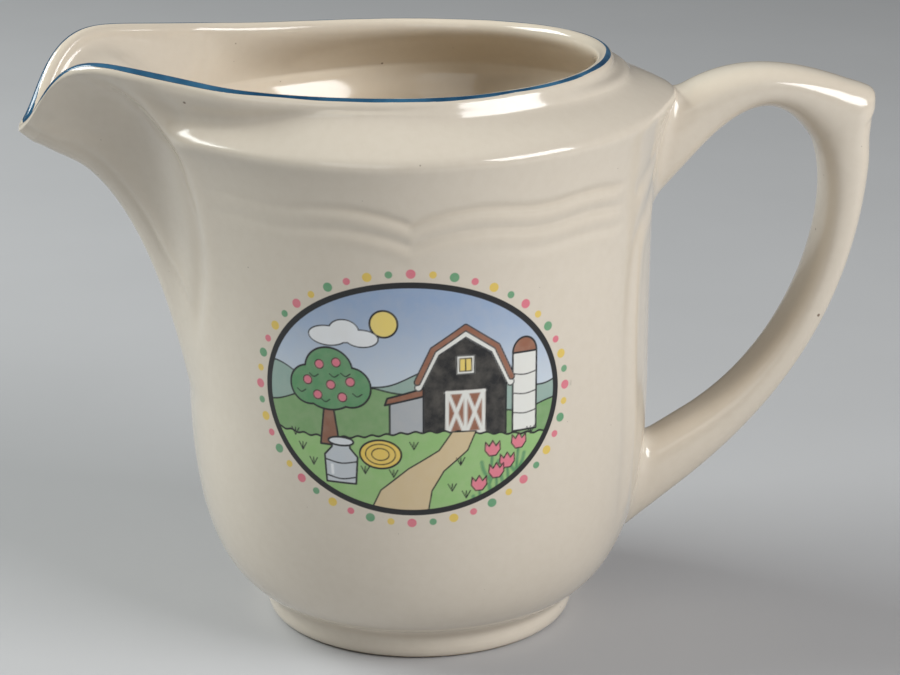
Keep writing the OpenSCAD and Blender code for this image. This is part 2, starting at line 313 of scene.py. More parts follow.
def settle(
    piece: bpy.types.Object, material: bpy.types.Material, nodes: Sequence[str]
) -> None:
    """Dresses a piece, hangs it under the root, and lets it stand for its CAD nodes.

    Args:
        piece: The new piece.
        material: Its material.
        nodes: The CAD nodes that it stands for.
    """
    piece.data.materials.append(material)
    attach(piece, "root")
    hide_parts(*nodes)
    LOG.info("%s: %d points, for %s", piece.name, len(piece.data.vertices), ", ".join(nodes))


class Graph:
    """A material's nodes, added and joined one by one."""

    def __init__(self, name: str) -> None:
        """Starts a material with its shader and the Object coordinates.

        Args:
            name: The material's name.
        """
        self.material = bpy.data.materials.new(name)
        self.material.use_nodes = True
        self.tree = self.material.node_tree
        self.shader = self.tree.nodes["Principled BSDF"]
        self.place = self.add("ShaderNodeTexCoord").outputs["Object"]

    def add(self, kind: str, **settings: object) -> bpy.types.Node:
        """Adds a node of a kind and sets its own properties."""
        node = self.tree.nodes.new(kind)
        for key, value in settings.items():
            setattr(node, key, value)
        return node

    def feed(self, socket: Socket, value: object) -> None:
        """Joins an output to a socket, or sets the socket's own value."""
        if isinstance(value, Socket):
            self.tree.links.new(value, socket)
        elif isinstance(value, tuple) and len(value) == 3 and socket.type == "RGBA":
            socket.default_value = (*value, 1.0)
        else:
            socket.default_value = value

    def noise(self, scale: float, detail: float = 3.0, rough: float = 0.55) -> Socket:
        """Cloudy noise over the Object coordinates, at a scale in turns per metre."""
        node = self.add("ShaderNodeTexNoise")
        self.feed(node.inputs["Vector"], self.place)
        node.inputs["Scale"].default_value = scale
        node.inputs["Detail"].default_value = detail
        node.inputs["Roughness"].default_value = rough
        return node.outputs["Fac"]

    def ramp(self, value: Socket, low: float, high: float, start: float, end: float) -> Socket:
        """Value from low to high mapped evenly to start to end, and held beyond."""
        node = self.add("ShaderNodeMapRange")
        self.feed(node.inputs["Value"], value)
        limits = {"From Min": low, "From Max": high, "To Min": start, "To Max": end}
        for key, number in limits.items():
            node.inputs[key].default_value = number
        return node.outputs["Result"]

    def clouds(self, scale: float, start: float, end: float, detail: float = 3.0) -> Socket:
        """Cloudy noise spread evenly from start to end."""
        return self.ramp(self.noise(scale, detail), *NOISE_SPAN, start, end)

    def reckon(self, operation: str, first: object, second: object) -> Socket:
        """One step of arithmetic on two values."""
        node = self.add("ShaderNodeMath", operation=operation)
        self.feed(node.inputs[0], first)
        self.feed(node.inputs[1], second)
        return node.outputs[0]

    def mix(self, share: object, first: object, second: object) -> Socket:
        """First colour with a share of the second laid over it."""
        node = self.add("ShaderNodeMix", data_type="RGBA")
        # A Mix node has sockets of the same names for numbers, vectors and colours.
        for socket, value in ((0, share), (6, first), (7, second)):
            self.feed(node.inputs[socket], value)
        return node.outputs[2]

    def value(self, name: str) -> Socket:
        """A number that the piece's points carry."""
        return self.add("ShaderNodeAttribute", attribute_name=name).outputs["Fac"]

    def colour(self, name: str) -> Socket:
        """A colour that the piece's points carry."""
        return self.add("ShaderNodeAttribute", attribute_name=name).outputs["Color"]

    def specks(self, scale: float, size: float) -> Socket:
        """Small round specks of mixed sizes, one or none in each Voronoi cell.

        Args:
            scale: Cells per metre.
            size: The largest speck's radius, as a share of a cell.

        Returns:
            1 in a speck and 0 outside: a cell's colour, to the third power, sets its radius.
        """
        rarity, edge = 3.0, 0.35
        cell = self.add("ShaderNodeTexVoronoi")
        self.feed(cell.inputs["Vector"], self.place)
        cell.inputs["Scale"].default_value = scale
        split = self.add("ShaderNodeSeparateColor")
        self.feed(split.inputs[0], cell.outputs["Color"])
        radius = self.reckon("POWER", split.outputs[0], rarity)
        radius = self.reckon("MULTIPLY", radius, size)
        depth = self.reckon("SUBTRACT", radius, cell.outputs["Distance"])
        return self.ramp(depth, 0.0, size * edge, 0.0, 1.0)

    def bump(self, height: Socket, depth: float, strength: float) -> None:
        """Gives the shader a fine relief from a height map, at a depth in metres."""
        node = self.add("ShaderNodeBump")
        self.feed(node.inputs["Height"], height)
        node.inputs["Distance"].default_value = depth
        node.inputs["Strength"].default_value = strength
        self.feed(self.shader.inputs["Normal"], node.outputs["Normal"])


@dataclass(frozen=True)
class IvoryGlaze:
    """Glossy ivory glaze: cloudy tone, pooled in hollows, thin on edges, with fine iron specks, and
    painted shade far down inside.

    Scales are in turns per metre. Specks are given by their scale, size and strength.
    """

    base: Colour = (0.72, 0.645, 0.54)
    pooled: Colour = (0.60, 0.515, 0.405)
    # Painted shade: a warmer, darker tint of the glaze far down inside, for light bounced about
    # inside.
    inside_shade: Colour = (0.73, 0.60, 0.43)
    thin: Colour = (0.76, 0.655, 0.52)
    iron: Colour = (0.16, 0.10, 0.06)
    cloud_scale: float = 26.0
    cloud_share: float = 0.42
    cloud_shade: float = 0.93
    grain_scale: float = 620.0
    grain_share: float = 0.16
    pool_share: float = 0.75
    thin_share: float = 0.7
    large_specks: Specks = (96.0, 0.040, 0.85)
    small_specks: Specks = (340.0, 0.062, 0.5)
    rough_scale: float = 75.0
    rough_span: Span = (0.10, 0.17)
    refraction: float = 1.5
    coat: float = 0.25
    coat_roughness: float = 0.05
    ripple_scale: float = 140.0
    ripple_depth: float = 0.00006
    ripple_share: float = 0.7

    def tone(self, graph: Graph, worn: bool) -> Socket:
        """Colour of the glaze.

        Args:
            graph: The material's nodes.
            worn: Whether the piece carries the "pool" value, above 0 in hollows and below 0 on
            edges, and the "inner" value of painted shade, up to 1 far down inside.

        Returns:
            The base colour, clouded by two noises, with pools, thin edges, painted shade inside and
            specks laid over it.
        """
        clouds = graph.clouds(self.cloud_scale, 0.0, self.cloud_share, 4.0)
        out = graph.mix(clouds, self.base, tuple(self.cloud_shade * c for c in self.base))
        grain = graph.noise(self.grain_scale, 2.0)
        out = graph.mix(graph.ramp(grain, 0.35, 0.75, 0.0, self.grain_share), out, self.pooled)
        if worn:
            pool = graph.value("pool")
            out = graph.mix(graph.ramp(pool, 0.05, 1.0, 0.0, self.pool_share), out, self.pooled)
            # Painted shade inside: the inner value mixes in the warmer, darker inside tint.
            out = graph.mix(graph.value("inner"), out, self.inside_shade)
            out = graph.mix(graph.ramp(pool, -0.05, -1.0, 0.0, self.thin_share), out, self.thin)
        specks = [
            graph.reckon("MULTIPLY", graph.specks(scale, size), strength)
            for scale, size, strength in (self.large_specks, self.small_specks)
        ]
        return graph.mix(graph.reckon("MAXIMUM", *specks), out, self.iron)

    def gloss(self, graph: Graph) -> None:
        """Sets a glassy, very slightly uneven surface on the graph's shader."""
        inputs = graph.shader.inputs
        graph.feed(inputs["Roughness"], graph.clouds(self.rough_scale, *self.rough_span, 4.0))
        inputs["IOR"].default_value = self.refraction
        inputs["Coat Weight"].default_value = self.coat
        inputs["Coat Roughness"].default_value = self.coat_roughness
        graph.bump(graph.noise(self.ripple_scale), self.ripple_depth, self.ripple_share)

    def material(self) -> bpy.types.Material:
        """Makes the glaze, which reads the "pool" value and the "inner" value of painted inside
        shade.
        """
        graph = Graph(Slot.GLAZE.value)
        graph.feed(graph.shader.inputs["Base Color"], self.tone(graph, True))
        self.gloss(graph)
        return graph.material


@dataclass(frozen=True)
class BareClay:
    """Dry buff stoneware where the foot was wiped, under glaze everywhere else."""

    clay: Colour = (0.50, 0.40, 0.28)
    grit: Colour = (0.33, 0.25, 0.16)
    grit_share: float = 0.8
    grain_scale: float = 900.0
    grain_depth: float = 0.00012
    grain_bump: float = 0.8
    specks: tuple[float, float] = (700.0, 0.12)
    ragged_scale: float = 260.0
    ragged: float = 0.22
    rough_span: Span = (0.14, 0.88)
    glaze: IvoryGlaze = IvoryGlaze()

    def material(self) -> bpy.types.Material:
        """Makes the foot's finish: the "dry" value mixes clay and glaze, in colour and gloss."""
        graph = Graph(Slot.CLAY.value)
        dry = graph.value("dry")
        grain = graph.noise(self.grain_scale, 4.0, 0.7)
        gritty = graph.ramp(grain, 0.42, 0.68, 0.0, self.grit_share)
        clay = graph.mix(gritty, self.clay, self.grit)
        clay = graph.mix(graph.specks(*self.specks), clay, self.glaze.iron)
        edge = graph.clouds(self.ragged_scale, -self.ragged, self.ragged, 4.0)
        bare = graph.ramp(graph.reckon("ADD", dry, edge), 0.45, 0.55, 0.0, 1.0)
        colour = graph.mix(bare, self.glaze.tone(graph, True), clay)
        graph.feed(graph.shader.inputs["Base Color"], colour)
        graph.feed(graph.shader.inputs["Roughness"], graph.ramp(bare, 0.0, 1.0, *self.rough_span))
        graph.bump(graph.reckon("MULTIPLY", grain, bare), self.grain_depth, self.grain_bump)
        return graph.material


@dataclass(frozen=True)
class CobaltLine:
    """Hand-banded blue under the glaze, darker where the brush was fuller."""

    full: Colour = srgb(24, 64, 94)
    lean: Colour = srgb(56, 104, 136)
    brush_scale: float = 300.0
    brush: float = 0.3
    rough_scale: float = 120.0
    rough_span: Span = (0.10, 0.18)
    ripple_scale: float = 240.0
    ripple_depth: float = 0.00003
    ripple_share: float = 0.6

    def material(self) -> bpy.types.Material:
        """Makes the line's finish: the "load" value and brush noise mix full and lean colour."""
        graph = Graph(Slot.LINE.value)
        brush = graph.clouds(self.brush_scale, -self.brush, self.brush)
        load = graph.reckon("ADD", graph.value("load"), brush)
        colour = graph.mix(graph.ramp(load, 0.0, 1.0, 0.0, 1.0), self.lean, self.full)
        graph.feed(graph.shader.inputs["Base Color"], colour)
        rough = graph.clouds(self.rough_scale, *self.rough_span)
        graph.feed(graph.shader.inputs["Roughness"], rough)
        graph.bump(graph.noise(self.ripple_scale), self.ripple_depth, self.ripple_share)
        return graph.material


@dataclass(frozen=True)
class TransferPrint:
    """A coloured print fired on under the glaze, with black line work on top of flat colours."""

    ink: Colour = (0.010, 0.010, 0.011)
    fade_scale: float = 420.0
    fade: float = 0.10
    blur: float = 0.09
    glaze: IvoryGlaze = IvoryGlaze()

    def material(self) -> bpy.types.Material:
        """Makes the print: bare glaze where "cover" is above 0, black where "ink" is below 0."""
        graph = Graph(Slot.PRINT.value)
        fade = graph.ramp(graph.noise(self.fade_scale), 0.35, 0.7, 0.0, self.fade)
        paint = graph.mix(fade, graph.colour("paint"), self.glaze.base)
        lines = graph.ramp(graph.value("ink"), -self.blur, self.blur, 1.0, 0.0)
        paint = graph.mix(lines, paint, self.ink)
        printed = graph.ramp(graph.value("cover"), -self.blur, self.blur, 1.0, 0.0)
        colour = graph.mix(printed, self.glaze.tone(graph, False), paint)
        graph.feed(graph.shader.inputs["Base Color"], colour)
        self.glaze.gloss(graph)
        return graph.material


@dataclass(frozen=True)
class Moulding:
    """A moulded groove along a course of angles and heights, with a rounded band on one side."""

    course: Course
    depth: float
    width: float
    band: float = 0.0
    band_off: float = 1.0
    band_width: float = 1.0
    fade_in: float = 0.10
    fade_out: float = 0.86
    pitch: float = 0.719
    steps: int = 44

    def height(self, angle: Array, height: Array) -> Array:
        """How far the wall stands out by this moulding.

        Args:
            angle: Degrees from the spout, not signed.
            height: Height on the wall.

        Returns:
            A bell curve cut in along the course, and one raised beside it, on the spout's side of
            a course that runs down. Both fade at the ends.
        """
        way = through(self.course, self.steps) * np.array([self.pitch, 1.0])
        gap, side, share = off_course(way, angle * self.pitch, height)
        fade = ease(0.0, self.fade_in, share) * (1 - ease(self.fade_out, 1.0, share))
        raised = self.band * bell(gap * side - self.band_off, self.band_width)
        return fade * (raised - self.depth * bell(gap, self.width))


@dataclass(frozen=True)
class Relief:
    """Low moulded lines below the shoulder and beside the handle and spout."""

    swag_height: float = 85.45
    swag_centre: float = 80.0
    swag_dip: float = 2.5
    dip_width: float = 5.0
    swag_wave: float = 0.4
    wave_length: float = 30.0
    wave_clear: float = 8.0
    swag_step: float = 3.6
    swag_width: float = 0.8
    swag_depths: Sequence[float] = (0.27, 0.17, 0.12)
    ledge_rises: Sequence[float] = (0.17, 0.15, 0.08)
    ledge_off: float = 1.5
    ledge_width: float = 1.25
    swag_start: Span = (26.0, 36.0)
    swag_end: Span = (133.0, 140.0)
    swag_faint: float = 0.25
    swag_clear: Span = (50.0, 72.0)
    third_start: Span = (92.0, 118.0)
    rib: Moulding = Moulding(
        (
            (161, 83), (155.2, 78.6), (149, 76.2), (145.5, 73), (143.8, 68), (142.6, 61),
            (142.2, 53), (142.4, 44), (143, 32), (145, 24), (149, 18),
        ),
        0.16, 1.8, 0.26, 3.4, 2.4,
    )
    upper_rib: Moulding = Moulding(
        ((165, 94.5), (162, 91), (158, 88), (153, 85.6), (148, 83.8), (143, 82.2)),
        0.15, 1.7, 0.16, 2.8, 1.9,
    )
    spout_crease: Moulding = Moulding(
        (
            (21, 104), (23.2, 103), (24.2, 101), (24.4, 98.5), (24.6, 96.5), (24.2, 94), (22.6, 90),
            (21.8, 86), (22.6, 79), (22.2, 73.5), (20.6, 68), (18.3, 63.5), (16.2, 59), (13.5, 54),
        ),
        0.34, 2.2, 0.12, 4.0, 2.6, 0.16,
    )
    keel_line: Moulding = Moulding(
        (
            (2.6, 93.4), (3.6, 92), (4.7, 90.6), (4.6, 88), (4.9, 85), (5.5, 80.5), (6.3, 76),
            (7.4, 71), (9.6, 67), (12.8, 63.4), (16.4, 60.2),
        ),
        0.24, 0.5, 0.14, 1.6, 1.1, 0.05,
    )

    def swag(self, angle: Array, height: Array) -> Array:
        """Lines that hang in a dip at the middle of the side, each a groove with a ledge below it.

        Args:
            angle: Degrees from the spout, not signed.
            height: Height on the wall.

        Returns:
            How far the wall stands out. A groove and a ledge are bell curves across their line; the
            line is a height with a slow cosine wave and a pointed dip. The lines are faint towards
            the spout, and the third only shows towards the handle.
        """
        s = np.abs(angle - self.swag_centre)
        wave = -self.swag_wave * np.cos(2 * np.pi * s / self.wave_length)
        wave = wave * (1 - np.exp(-s / self.wave_clear))
        line = self.swag_height + wave - self.swag_dip * np.exp(-s / self.dip_width)
        run = self.swag_faint * ease(*self.swag_start, angle)
        run = run + (1 - self.swag_faint) * ease(*self.swag_clear, angle)
        run = run * (1 - ease(*self.swag_end, angle))
        out = np.zeros(np.shape(run))
        for k, (depth, rise) in enumerate(zip(self.swag_depths, self.ledge_rises)):
            shows = ease(*self.third_start, angle) if k == 2 else 1.0
            above = height - (line - k * self.swag_step)
            ledge = rise * bell(above + self.ledge_off, self.ledge_width)
            out = out + shows * (ledge - depth * bell(above, self.swag_width))
        return run * out

    def height(self, angle: Array, height: Array) -> Array:
        """How far the wall stands out from its plain form, as the sum of all moulded lines.

        Args:
            angle: Degrees from the spout.
            height: Height on the wall.

        Returns:
            Millimetres outwards.
        """
        angle = np.abs(angle)
        out = self.swag(angle, height)
        for moulding in (self.rib, self.upper_rib, self.spout_crease, self.keel_line):
            out = out + moulding.height(angle, height)
        return out


@dataclass(frozen=True)
class Pot:
    """The cast pot with its spout: bowl, wall, shoulder, coved neck, saddle rim and inside.

    Angles are in degrees. A span has two ends, mostly of a smooth step round the jug. A swell is
    the size, the place and the width of a bell curve, and a blur is its size and its width. Rows
    of a wall are counted up to shares of its height.
    """

    base_radius: float = 28.0
    base_height: float = 5.2
    belly_radius: float = 41.2
    belly_height: float = 44.0
    bowl_out: Controls = (0, 0.72, 1, 1)
    bowl_up: Controls = (0, 0.10, 0.46, 1)
    wall_rise: Controls = (0, 0.267, 0.925, 1)
    shoulder_flare: float = 2.2
    flare_power: int = 6
    root_flare: float = 3.1
    root_power: int = 9
    root_width: float = 16.0
    keel_reach: float = 25.2
    keel_curve: Controls = (0, 0.10, 0.325, 1)
    keel_width: Span = (9.0, 14.0)
    keel_soft: float = 3.6
    keel_flat: float = 3.2
    flank_soft: float = 0.28
    flank_in: Span = (5.0, 13.0)
    flank_out: Span = (19.0, 28.0)
    rim_height: float = 102.0
    rim_soft: float = 1.0
    rim_nose: float = 23.0
    rim_swells: Sequence[Swell] = ((0.1, 17.0, 6.0), (0.2, 38.0, 20.0), (0.25, 65.0, 22.0))
    rim_trims: Sequence[Swell] = ((0.85, 11.5, 5.5), (-0.9, 38.0, 8.0), (1.1, 70.0, 24.0))
    spout_rise: float = 5.4
    spout_width: float = 33.0
    spout_reach: float = 45.0
    lip_dip: float = 14.5
    lip_draw: float = 9.5
    lip_width: float = 8.7
    lip_round: float = 1.5
    back_rise: float = 1.2
    back_width: float = 60.0
    back_swell: Swell = (0.55, 180.0, 45.0)
    mouth_radius: float = 33.6
    shoulder_drop: float = 8.0
    shoulder_sag: Swell = (0.9, 62.0, 34.0)
    shoulder_back: float = 0.8
    shoulder_start: Span = (12.0, 28.0)
    shoulder_nose: float = 14.0
    spout_drop: float = 7.6
    spout_lift: float = 3.8
    band_up: float = 4.0
    band_swell: float = 0.5
    band_rest: float = 0.42
    cove_out: float = 0.6
    cove_in: float = 3.4
    cove_back: float = 2.2
    cove_drop: float = 0.9
    cove_start: Span = (20.0, 28.0)
    cove_side: Span = (34.0, 62.0)
    cove_lean: Span = (24.0, 66.0)
    cove_plain: float = 0.65
    cove_steep: float = 0.65
    cove_round: float = 1.5
    cove_rest: float = 0.4
    cove_share: float = 0.6
    collar_out: float = 0.3
    collar_drop: float = 0.5
    collar_turn: float = 28.0
    collar_lean: float = 0.85
    collar_start: Span = (70.0, 95.0)
    collar_end: Span = (115.0, 165.0)
    least_blur: float = 0.04
    shoulder_blur: Blur = (1.0, 3.2)
    spout_blur: Blur = (3.6, 5.0)
    blur_change: Span = (20.0, 33.0)
    wall: float = 4.0
    inner_belly: float = 37.2
    inner_flare: float = 1.9
    inner_step: Span = (0.85, 0.975)
    inner_drop: float = 1.5
    inner_keel: float = 25.0
    inner_curve: Controls = (0, 0.035, 0.385, 1)
    inner_width: Span = (7.5, 12.5)
    inner_soft: float = 1.6
    fold_in: float = 2.0
    fold_up: float = 3.2
    fold_start: Span = (42.0, 75.0)
    lip_down: float = 2.6
    floor_hole: float = 2.0
    floor_blur: Blur = (2.2, 7.0)
    pool_depth: float = 0.45
    pool_span: Span = (-0.7, 0.6)
    lip_thin: Swell = (-0.8, 90.0, 70.0)
    # Painted inside shade: depth below the rim over which the inner value rises to 1.
    inside_shade: float = 36.0
    columns: int = 364
    fine_columns: int = 7201
    crowding: Sequence[Swell] = (
        (3.0, 0.0, 14.0), (1.6, 142.0, 6.0), (0.8, 80.0, 12.0), (0.8, 22.0, 6.0),
    )
    under_rows: int = 5
    bowl_rows: int = 29
    wall_rows: Sequence[tuple[float, int]] = ((0.6, 24), (0.9, 50), (1.0, 22))
    neck_rows: int = 40
    lip_rows: int = 13
    fold_rows: int = 29
    inner_rows: Sequence[tuple[float, int]] = ((0.8, 20), (0.0, 11))
    inner_bowl_rows: int = 22
    floor_rows: int = 9
    relief: Relief = Relief()

    def nose(self, angle: Array, width: Array, soft: float) -> Array:
        """Spout's share round the jug: 1 at the spout with a rounded keel, 0 at the sides.

        Args:
            angle: Degrees from the spout.
            width: Degrees at which the share has fallen to a half.
            soft: Degrees over which the keel is rounded.

        Returns:
            One over one plus a power of the angle's share of the width, less the same at the tail.
            The angle is first flattened over the keel's face, as one side of a superellipse is.
        """
        power, tail_angle = 1.3, 110.0
        flat = self.keel_flat
        soft_angle = (np.abs(angle) ** flat + soft**flat) ** (1 / flat) - soft
        tail = 1 / (1 + (tail_angle / width) ** power)
        return np.clip((1 / (1 + (soft_angle / width) ** power) - tail) / (1 - tail), 0, None)

    def back(self, angle: Array) -> Array:
        """How much higher the rim is towards the back, as a bell curve round the handle."""
        return self.back_rise * bell(180.0 - np.abs(angle), self.back_width)

    def rim_top(self, angle: Array) -> Array:
        """Height of the rim, which rises to the spout, dips at the lip and rises at the back."""
        away = np.abs(angle)
        spout = self.spout_rise * bell(away, self.spout_width)
        spout = spout - self.lip_dip * bell(away, self.lip_width)
        return self.rim_height + spout + swells(away, self.rim_swells) + self.back(angle)

    def rim_reach(self, angle: Array) -> Array:
        """Plan radius of the rim's outer edge: the mouth, drawn out to the spout."""
        away = np.abs(angle)
        spout = self.spout_reach * self.nose(angle, self.rim_nose, self.rim_soft)
        trim = self.lip_draw * bell(away, self.lip_width) + swells(away, self.rim_trims)
        return self.mouth_radius + spout - trim + swells(away, [self.back_swell])

    def shoulder(self, angle: Array) -> Array:
        """Height of the shoulder's edge: level round the pot, close under the rim at the spout."""
        away = np.abs(angle)
        level = self.rim_height - self.shoulder_drop + self.shoulder_back * self.back(angle)
        level = level - swells(away, [self.shoulder_sag])
        lift = self.spout_lift * self.nose(angle, self.shoulder_nose, self.rim_soft)
        spout = self.rim_top(angle) - self.spout_drop + lift
        return spout + (level - spout) * ease(*self.shoulder_start, away)

    @staticmethod
    def heading(angle: Array) -> Array:
        """Unit vectors away from the axis, at degrees from the spout."""
        a = np.radians(np.asarray(angle, float))
        return np.stack([-np.cos(a), -np.sin(a), np.zeros_like(a)], -1)

    def rising(self, up: Array) -> Array:
        """Place along the wall's curve at which it has risen by a share."""
        t = np.linspace(0, 1, FINE)
        return np.interp(up, cubic(self.wall_rise, t), t)

    def wall_radius(self, angle: Array, up: Array) -> Array:
        """Radius of the wall.

        Args:
            angle: Degrees from the spout.
            up: Share of the way up from the belly to the shoulder.

        Returns:
            A round wall that flares at its top, more so at the handle, mixed with the spout's keel
            by the nose share. The keel's curve runs out less far on the spout's flanks.
        """
        t, away = self.rising(up), np.abs(angle)
        flare = self.shoulder_flare * up**self.flare_power
        root = self.root_flare * bell(180.0 - away, self.root_width) * up**self.root_power
        plain = self.belly_radius + flare + root
        flank = self.flank_soft * ease(*self.flank_in, away) * (1 - ease(*self.flank_out, away))
        keel = self.belly_radius + self.keel_reach * (cubic(self.keel_curve, t) - flank * t**3)
        spout = self.nose(angle, between(self.keel_width, t), self.keel_soft)
        return plain + (keel - plain) * spout

    def bowl(self, t: Array) -> tuple[Array, Array]:
        """Radius and height of the bowl below the belly, along a cubic curve."""
        radius = cubic(self.bowl_out, t) * (self.belly_radius - self.base_radius)
        height = cubic(self.bowl_up, t) * (self.belly_height - self.base_height)
        return self.base_radius + radius, self.base_height + height

    def skin(self, angle: Array, height: Array) -> Array:
        """Outer radius at a height, below the shoulder, with the moulded lines."""
        rise = self.shoulder(angle) - self.belly_height
        up = np.clip((height - self.belly_height) / rise, 0, 1)
        radius, level = self.bowl(np.linspace(0, 1, FINE))
        low = np.interp(height, level, radius)
        plain = np.where(height < self.belly_height, low, self.wall_radius(angle, up))
        return plain + self.relief.height(angle, height)

    def reach(self, angle: Array, height: Array) -> Array:
        """Outer radius at a height, anywhere from the base to the rim, with the moulded lines.

        Args:
            angle: Degrees from the spout.
            height: Height on the pot.

        Returns:
            The wall's radius, or above the shoulder the neck's at the place along its curve that
            has this height, found by halving.
        """
        low, high = np.zeros(np.shape(height)), np.ones(np.shape(height))
        for _ in range(HALVINGS):
            middle = (low + high) / 2
            under = self.neck(angle, middle)[1] < height
            low, high = np.where(under, middle, low), np.where(under, high, middle)
        neck = self.neck(angle, high)[0] + self.relief.height(angle, height)
        return np.where(height > self.shoulder(angle), neck, self.skin(angle, height))

    def collar(self, angle: Array) -> Array:
        """Share of the low collar under the lip: 1 at the sides, 0 at the spout and the back."""
        away = np.abs(angle)
        return ease(*self.collar_start, away) * (1 - ease(*self.collar_end, away))

    def cove(self, angle: Array) -> tuple[Array, Array, Array]:
        """Where the neck's cove lies.

        Args:
            angle: Degrees from the spout.

        Returns:
            Its radius, its height, and its share: 0 at the spout, where the neck is straight from
            edge to rim. Next to the spout the cove lies low and inside the rim, at the sides close
            under the lip with a low collar above it, and at the back it stands out from the rim.
        """
        edge, foot = self.wall_radius(angle, np.array(1.0)), self.shoulder(angle)
        rim, top = self.rim_reach(angle), self.rim_top(angle) - self.lip_round
        away, collar = np.abs(angle), self.collar(angle)
        share, back = ease(*self.cove_start, away), ease(*self.collar_end, away)
        lean = self.cove_out - self.cove_in * (1 - ease(*self.cove_lean, away))
        lean = lean + self.cove_back * back + self.collar_out * collar
        drop = self.cove_drop * (1 + back) + self.collar_drop * collar
        low = foot + self.band_up
        high = low + ease(*self.cove_side, away) * (top - drop - low)
        radius = edge + self.cove_plain * (rim - edge)
        height = foot + self.cove_plain * (top - foot)
        return radius + share * (rim + lean - radius), height + share * (high - height), share

    def neck(self, angle: Array, t: Array) -> tuple[Array, Array]:
        """The neck, from the shoulder's edge over its rounded band and the cove to the lip.

        Args:
            angle: Degrees from the spout.
            t: Share along the neck, from 0 to 1.

        Returns:
            Radius and height along two cubic curves that meet in the cove with one direction. The
            second runs out upright into the lip, at the collar in a straight line, and at the spout
            along the line from edge to rim.
        """
        angle, t = np.broadcast_arrays(np.asarray(angle, float), np.asarray(t, float))
        edge, foot = self.wall_radius(angle, np.array(1.0)), self.shoulder(angle)
        start = np.stack([edge, foot], -1)
        turn = np.radians(self.collar_turn * self.collar(angle))
        top = self.rim_top(angle) - self.lip_round * (1 - np.sin(turn))
        end = np.stack([self.rim_reach(angle) - self.lip_round * (1 - np.cos(turn)), top], -1)
        radius, height, share = self.cove(angle)
        cove, share = np.stack([radius, height], -1), share[..., None]
        whole, upwards = unit(end - start), np.array([0.0, 1.0])
        along = unit(whole * (1 - share * np.array([self.cove_steep, 0.0])))
        size = np.linalg.norm(end - cove, axis=-1, keepdims=True)
        collar = self.collar_lean * self.collar(angle)[..., None]
        last = (1 - collar) * upwards + collar * (end - cove) / size
        last = share * last + (1 - share) * whole
        rest = self.cove_rest * size
        swell = self.band_rest * (cove - start) + self.band_swell * share * upwards
        first = (start, start + swell, cove - self.cove_round * along, cove)
        second = (cove, cove + rest * along, end - rest * last, end)
        low = t < self.cove_share
        place = np.where(low, t / self.cove_share, (t - self.cove_share) / (1 - self.cove_share))
        weights = cubic(np.eye(4), place)
        out = sum(
            weights[..., k, None] * np.where(low[..., None], first[k], second[k]) for k in range(4)
        )
        return out[..., 0], out[..., 1]

    def spread(self) -> Array:
        """Angles of the columns, closer together at the spout, the moulded lines and the dip."""
        fine = np.linspace(-180.0, 180.0, self.fine_columns)
        need = 1 + swells(np.abs(fine), self.crowding)
        total = np.concatenate([[0], np.cumsum((need[1:] + need[:-1]) / 2)])
        return np.interp(np.arange(self.columns) / self.columns * total[-1], total, fine)

    def lip(self, angle: Array, turn: Array, lift: Array) -> Array:
        """Points on the rounded lip.

        Args:
            angle: Degrees from the spout.
            turn: Degrees round the lip, 0 on its outside, 90 on top, 180 inside.
            lift: How far the points stand off the lip.

        Returns:
            The lip's centre line plus a circle in the plane of the rim's plan normal and the axis.
            The centre lies one lip radius inside the rim's edge.
        """
        step = 0.05
        edge, after, before = (
            self.rim_reach(place)[..., None] * self.heading(place)
            for place in (angle, angle + step, angle - step)
        )
        along = after - before
        out = unit(np.stack([along[..., 1], -along[..., 0], np.zeros_like(along[..., 0])], -1))
        out *= np.sign(np.sum(out * self.heading(angle), -1, keepdims=True))
        centre = edge - self.lip_round * out
        centre[..., 2] = self.rim_top(angle) - self.lip_round
        turn = np.radians(turn)
        ring = np.cos(turn)[..., None] * out + np.sin(turn)[..., None] * UP
        return centre + (self.lip_round + lift)[..., None] * ring

    def place(self, angle: Array, radius: Array, height: Array) -> Array:
        """Points at an angle, radius and height."""
        out = radius[..., None] * self.heading(np.broadcast_to(angle, radius.shape))
        out[..., 2] = height
        return out

    def outside(self, angle: Array) -> tuple[Array, Array]:
        """Rows of the outside from the underside to the neck.

        Args:
            angle: Angles of the columns.

        Returns:
            The rows of points, and how far each stands out by the moulded lines. The shoulder's
            edge is rounded by a blur along the rows, which is wider at the spout.
        """
        flat = np.linspace(0.2, 0.9, self.under_rows)[:, None] * self.base_radius + 0 * angle
        under = self.place(angle, flat, np.full(flat.shape, self.base_height))
        radius, height = self.bowl(np.linspace(0, 1, self.bowl_rows))
        radius, height = radius[:, None] + 0 * angle, height[:, None] + 0 * angle
        raised = self.relief.height(angle + 0 * height, height)
        bowl = self.place(angle, radius + raised, height)
        up = stepped(0.0, self.wall_rows)[1:, None] + 0 * angle
        tall = self.belly_height + (self.shoulder(angle) - self.belly_height) * up
        raised_wall = self.relief.height(angle + 0 * tall, tall)
        wall = self.place(angle, self.wall_radius(angle + 0 * up, up) + raised_wall, tall)
        shares = np.linspace(0, 1, self.neck_rows + 1)[1:-1, None]
        radius, height = self.neck(angle[None, :], shares + 0 * angle)
        raised_neck = self.relief.height(angle + 0 * height, height)
        neck = self.place(angle, radius + raised_neck, height)
        rows = np.concatenate([under, bowl, wall, neck])
        raised = np.concatenate([0 * flat, raised, raised_wall, raised_neck])
        length = distance(rows[:, int(np.argmin(np.abs(angle - 90.0)))])
        from_edge = length - length[len(rows) - len(neck) - 1]
        crisp, smooth = (
            blur_rows(rows, length, self.least_blur + size * bell(from_edge, width))
            for size, width in (self.shoulder_blur, self.spout_blur)
        )
        share = ease(*self.blur_change, np.abs(angle))[None, :, None]
        return smooth + (crisp - smooth) * share, raised

